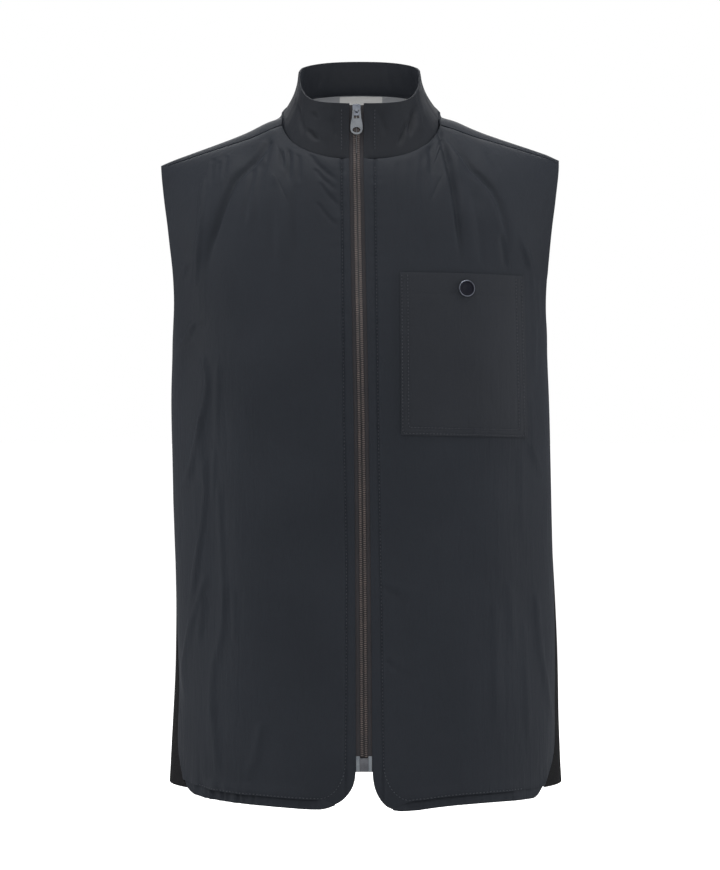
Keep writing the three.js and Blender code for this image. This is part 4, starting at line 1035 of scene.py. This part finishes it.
def enamel_material():
    material, tree, shader = new_material("navy_enamel", Coat_Weight=0.1, Coat_Roughness=0.3, Specular_IOR_Level=0.2)
    low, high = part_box("pocket_snap")
    away = tree.nodes.new("ShaderNodeVectorMath")
    away.operation = "DISTANCE"
    away.inputs[1].default_value = (low + high) / 2
    tree.links.new(own_place(tree), away.inputs[0])
    ring = spread(tree, away.outputs["Value"], SNAP_RING["inner"], SNAP_RING["outer"])
    colour_between(tree, ring, linear(9, 11, 26), linear(116, 120, 131), shader, 0.0, 1.0)
    tree.links.new(ring, shader.inputs["Metallic"])
    roughness_between(tree, shader, place_group(tree, "tone", Patches_per_metre=120.0), low=0.4, high=0.55)
    return material


def film_material():
    material, tree, shader = new_material("tape_film", Coat_Weight=0.8, Coat_Roughness=0.15, Specular_IOR_Level=0.7)
    tone = place_group(tree, "tone", Patches_per_metre=150.0)
    colour_between(tree, tone, linear(132, 139, 147), linear(160, 167, 174), shader)
    roughness_between(tree, shader, tone, low=0.25, high=0.4)
    return material


# Painted shade: the coil's body is a darker copy of the loops' plastic, so the gaps between the loops read dark.
coil_painted_shade_finish = coil_material("coil_plastic_painted_shade", linear(30, 27, 28), linear(44, 38, 38))
loop_finish = coil_material("coil_loops", linear(80, 73, 74), linear(108, 95, 90))
metal_finish = metal_material("satin_zinc", linear(89, 92, 96), linear(112, 115, 119), low=0.34, high=0.46)
# Painted shade: the slider is a darker, bluer copy of the pull's zinc, standing in for the shade in its slot.
slider_painted_shade_finish = metal_material("slider_zinc_painted_shade", linear(84, 88, 96), linear(112, 116, 124), low=0.28, high=0.4)
box_finish = metal_material("box_metal", linear(110, 112, 118), linear(150, 152, 158), low=0.3, high=0.45)
enamel_finish = enamel_material()
film_finish = film_material()

# %% Give every piece its finish
FINISHES = {
    shell_finish: [front_right, front_left, back, *bands.values()],
    collar_painted_shade_finish: [collar],
    pocket_painted_light_finish: [pocket],
    knit_finish: list(sides.values()),
    lining_finish: [lining],
    label_finish: [label],
    thread_finish: [*stitch_zip.values(), stitch_pocket],
    coil_painted_shade_finish: [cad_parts["zip_coil_right"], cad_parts["zip_coil_left"]],
    loop_finish: list(loops.values()),
    tape_finish: list(tapes.values()),
    film_finish: [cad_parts["zip_end_right"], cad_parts["zip_end_left"]],
    metal_finish: [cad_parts["zip_pull"]],
    slider_painted_shade_finish: [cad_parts["zip_slider"]],
    box_finish: [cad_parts["zip_box"]],
    enamel_finish: [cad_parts["pocket_snap"]],
}
for finish, pieces in FINISHES.items():
    for piece in pieces:
        piece.data.materials.clear()
        piece.data.materials.append(finish)
print(len(FINISHES), "finishes")

# %% [markdown]
# ## The room
#
# The room is white to the camera and dim to the cloth, as where only the wall behind a garment is lit. A broad
# soft lamp above lights the shoulders, so that the hem falls off. Weaker ones in front, at both sides and behind
# draw the folds, and a small dim one in the neck stands for the light that the lining throws back. The camera is
# level, as a garment is photographed.

# %% Floor, lights and camera
bpy.ops.mesh.primitive_plane_add(size=300, location=(0, 0, -0.80))
floor = bpy.context.object
floor.name = "studio_floor"
floor_finish, floor_tree, floor_shader = new_material("pale_floor", Roughness=0.9)
floor_shader.inputs["Base Color"].default_value = (0.9, 0.9, 0.9, 1)
floor_shader.inputs["Emission Color"].default_value = (1, 1, 1, 1)
WHITE = 1.0
DIM = 0.13
to_camera = floor_tree.nodes.new("ShaderNodeLightPath").outputs["Is Camera Ray"]
floor_tree.links.new(math_node(floor_tree, "MULTIPLY", to_camera, WHITE), floor_shader.inputs["Emission Strength"])
floor.data.materials.append(floor_finish)

world = bpy.data.worlds.new("studio")
bpy.context.scene.world = world
world.use_nodes = True
sky = world.node_tree.nodes["Background"]
sky.inputs["Color"].default_value = (1, 1, 1, 1)
rays = world.node_tree.nodes.new("ShaderNodeLightPath")
seen = math_node(world.node_tree, "MULTIPLY", rays.outputs["Is Camera Ray"], WHITE - DIM)
world.node_tree.links.new(math_node(world.node_tree, "ADD", seen, DIM), sky.inputs["Strength"])


def soft_lamp(name, place, size, power, target=(0, 0, -0.33)):
    light = bpy.data.lights.new(name, "AREA")
    light.shape = "RECTANGLE"
    light.size, light.size_y = size
    light.energy = power
    lamp = bpy.data.objects.new(name, light)
    lamp.location = place
    lamp.rotation_euler = (Vector(target) - Vector(place)).to_track_quat("-Z", "Y").to_euler()
    bpy.context.scene.collection.objects.link(lamp)
    return lamp


soft_lamp("lamp_above", place=(0, -0.2, 1.7), size=(1.8, 1.4), power=30)
soft_lamp("lamp_front", place=(0, -1.6, 0.35), size=(1.8, 0.8), power=10, target=(0, 0, -0.1))
soft_lamp("lamp_right", place=(-1.8, -0.3, 0.1), size=(0.5, 1.8), power=13)
soft_lamp("lamp_left", place=(1.8, -0.3, 0.1), size=(0.5, 1.8), power=13)
soft_lamp("lamp_behind", place=(0, 1.7, 0.7), size=(1.6, 1.0), power=14)
neck_lamp = soft_lamp("lamp_neck", place=(0, -0.055, -0.03), size=(0.09, 0.03), power=0.07, target=(0, 0.07, 0.03))
neck_lamp.visible_camera = False

CAMERA_AWAY = 3.0
PICTURE_ROWS = 870
MM_PER_ROW = 1.03
FRAME_HEIGHT = PICTURE_ROWS * MM_PER_ROW * MM
camera_data = bpy.data.cameras.new("front_camera")
camera = bpy.data.objects.new("front_camera", camera_data)
bpy.context.scene.collection.objects.link(camera)
camera.location = (-0.001, -CAMERA_AWAY, -0.330)
camera.rotation_euler = (math.radians(90), 0, 0)
camera_data.sensor_width = 36
camera_data.lens = camera_data.sensor_width * CAMERA_AWAY / FRAME_HEIGHT
bpy.context.scene.camera = camera
bpy.context.scene.view_settings.view_transform = "Standard"

# %% [markdown]
# ## Cut sizes
#
# Every cloth piece says the size of the rectangle it was cut from, so that anyone can check that modelling has
# not stretched it.

def cut(piece, width, length, share=1.0):
    faces = sum(face.area for face in piece.data.polygons) / 2
    print(piece.name, "cloth", round(faces, 4), "m2, cut", round(width * length * share, 4))


cut(front_right, 0.265, 0.70, share=0.85)
cut(front_left, 0.265, 0.70, share=0.85)
cut(back, 0.52, 0.76, share=0.85)
cut(collar, 0.43, 0.062)
cut(pocket, 0.13, 0.165)
cut(sides[RIGHT], 0.10, 0.46)
cut(sides[LEFT], 0.10, 0.46)
cut(lining, 0.15, 0.07)
cut(label, 0.045, 0.04)
for tape in tapes.values():
    cut(tape, 0.0135, 0.665)
for word, length in (("right", 0.2), ("left", 0.2), ("back", 0.45)):
    cut(bands[word], length, 0.012)
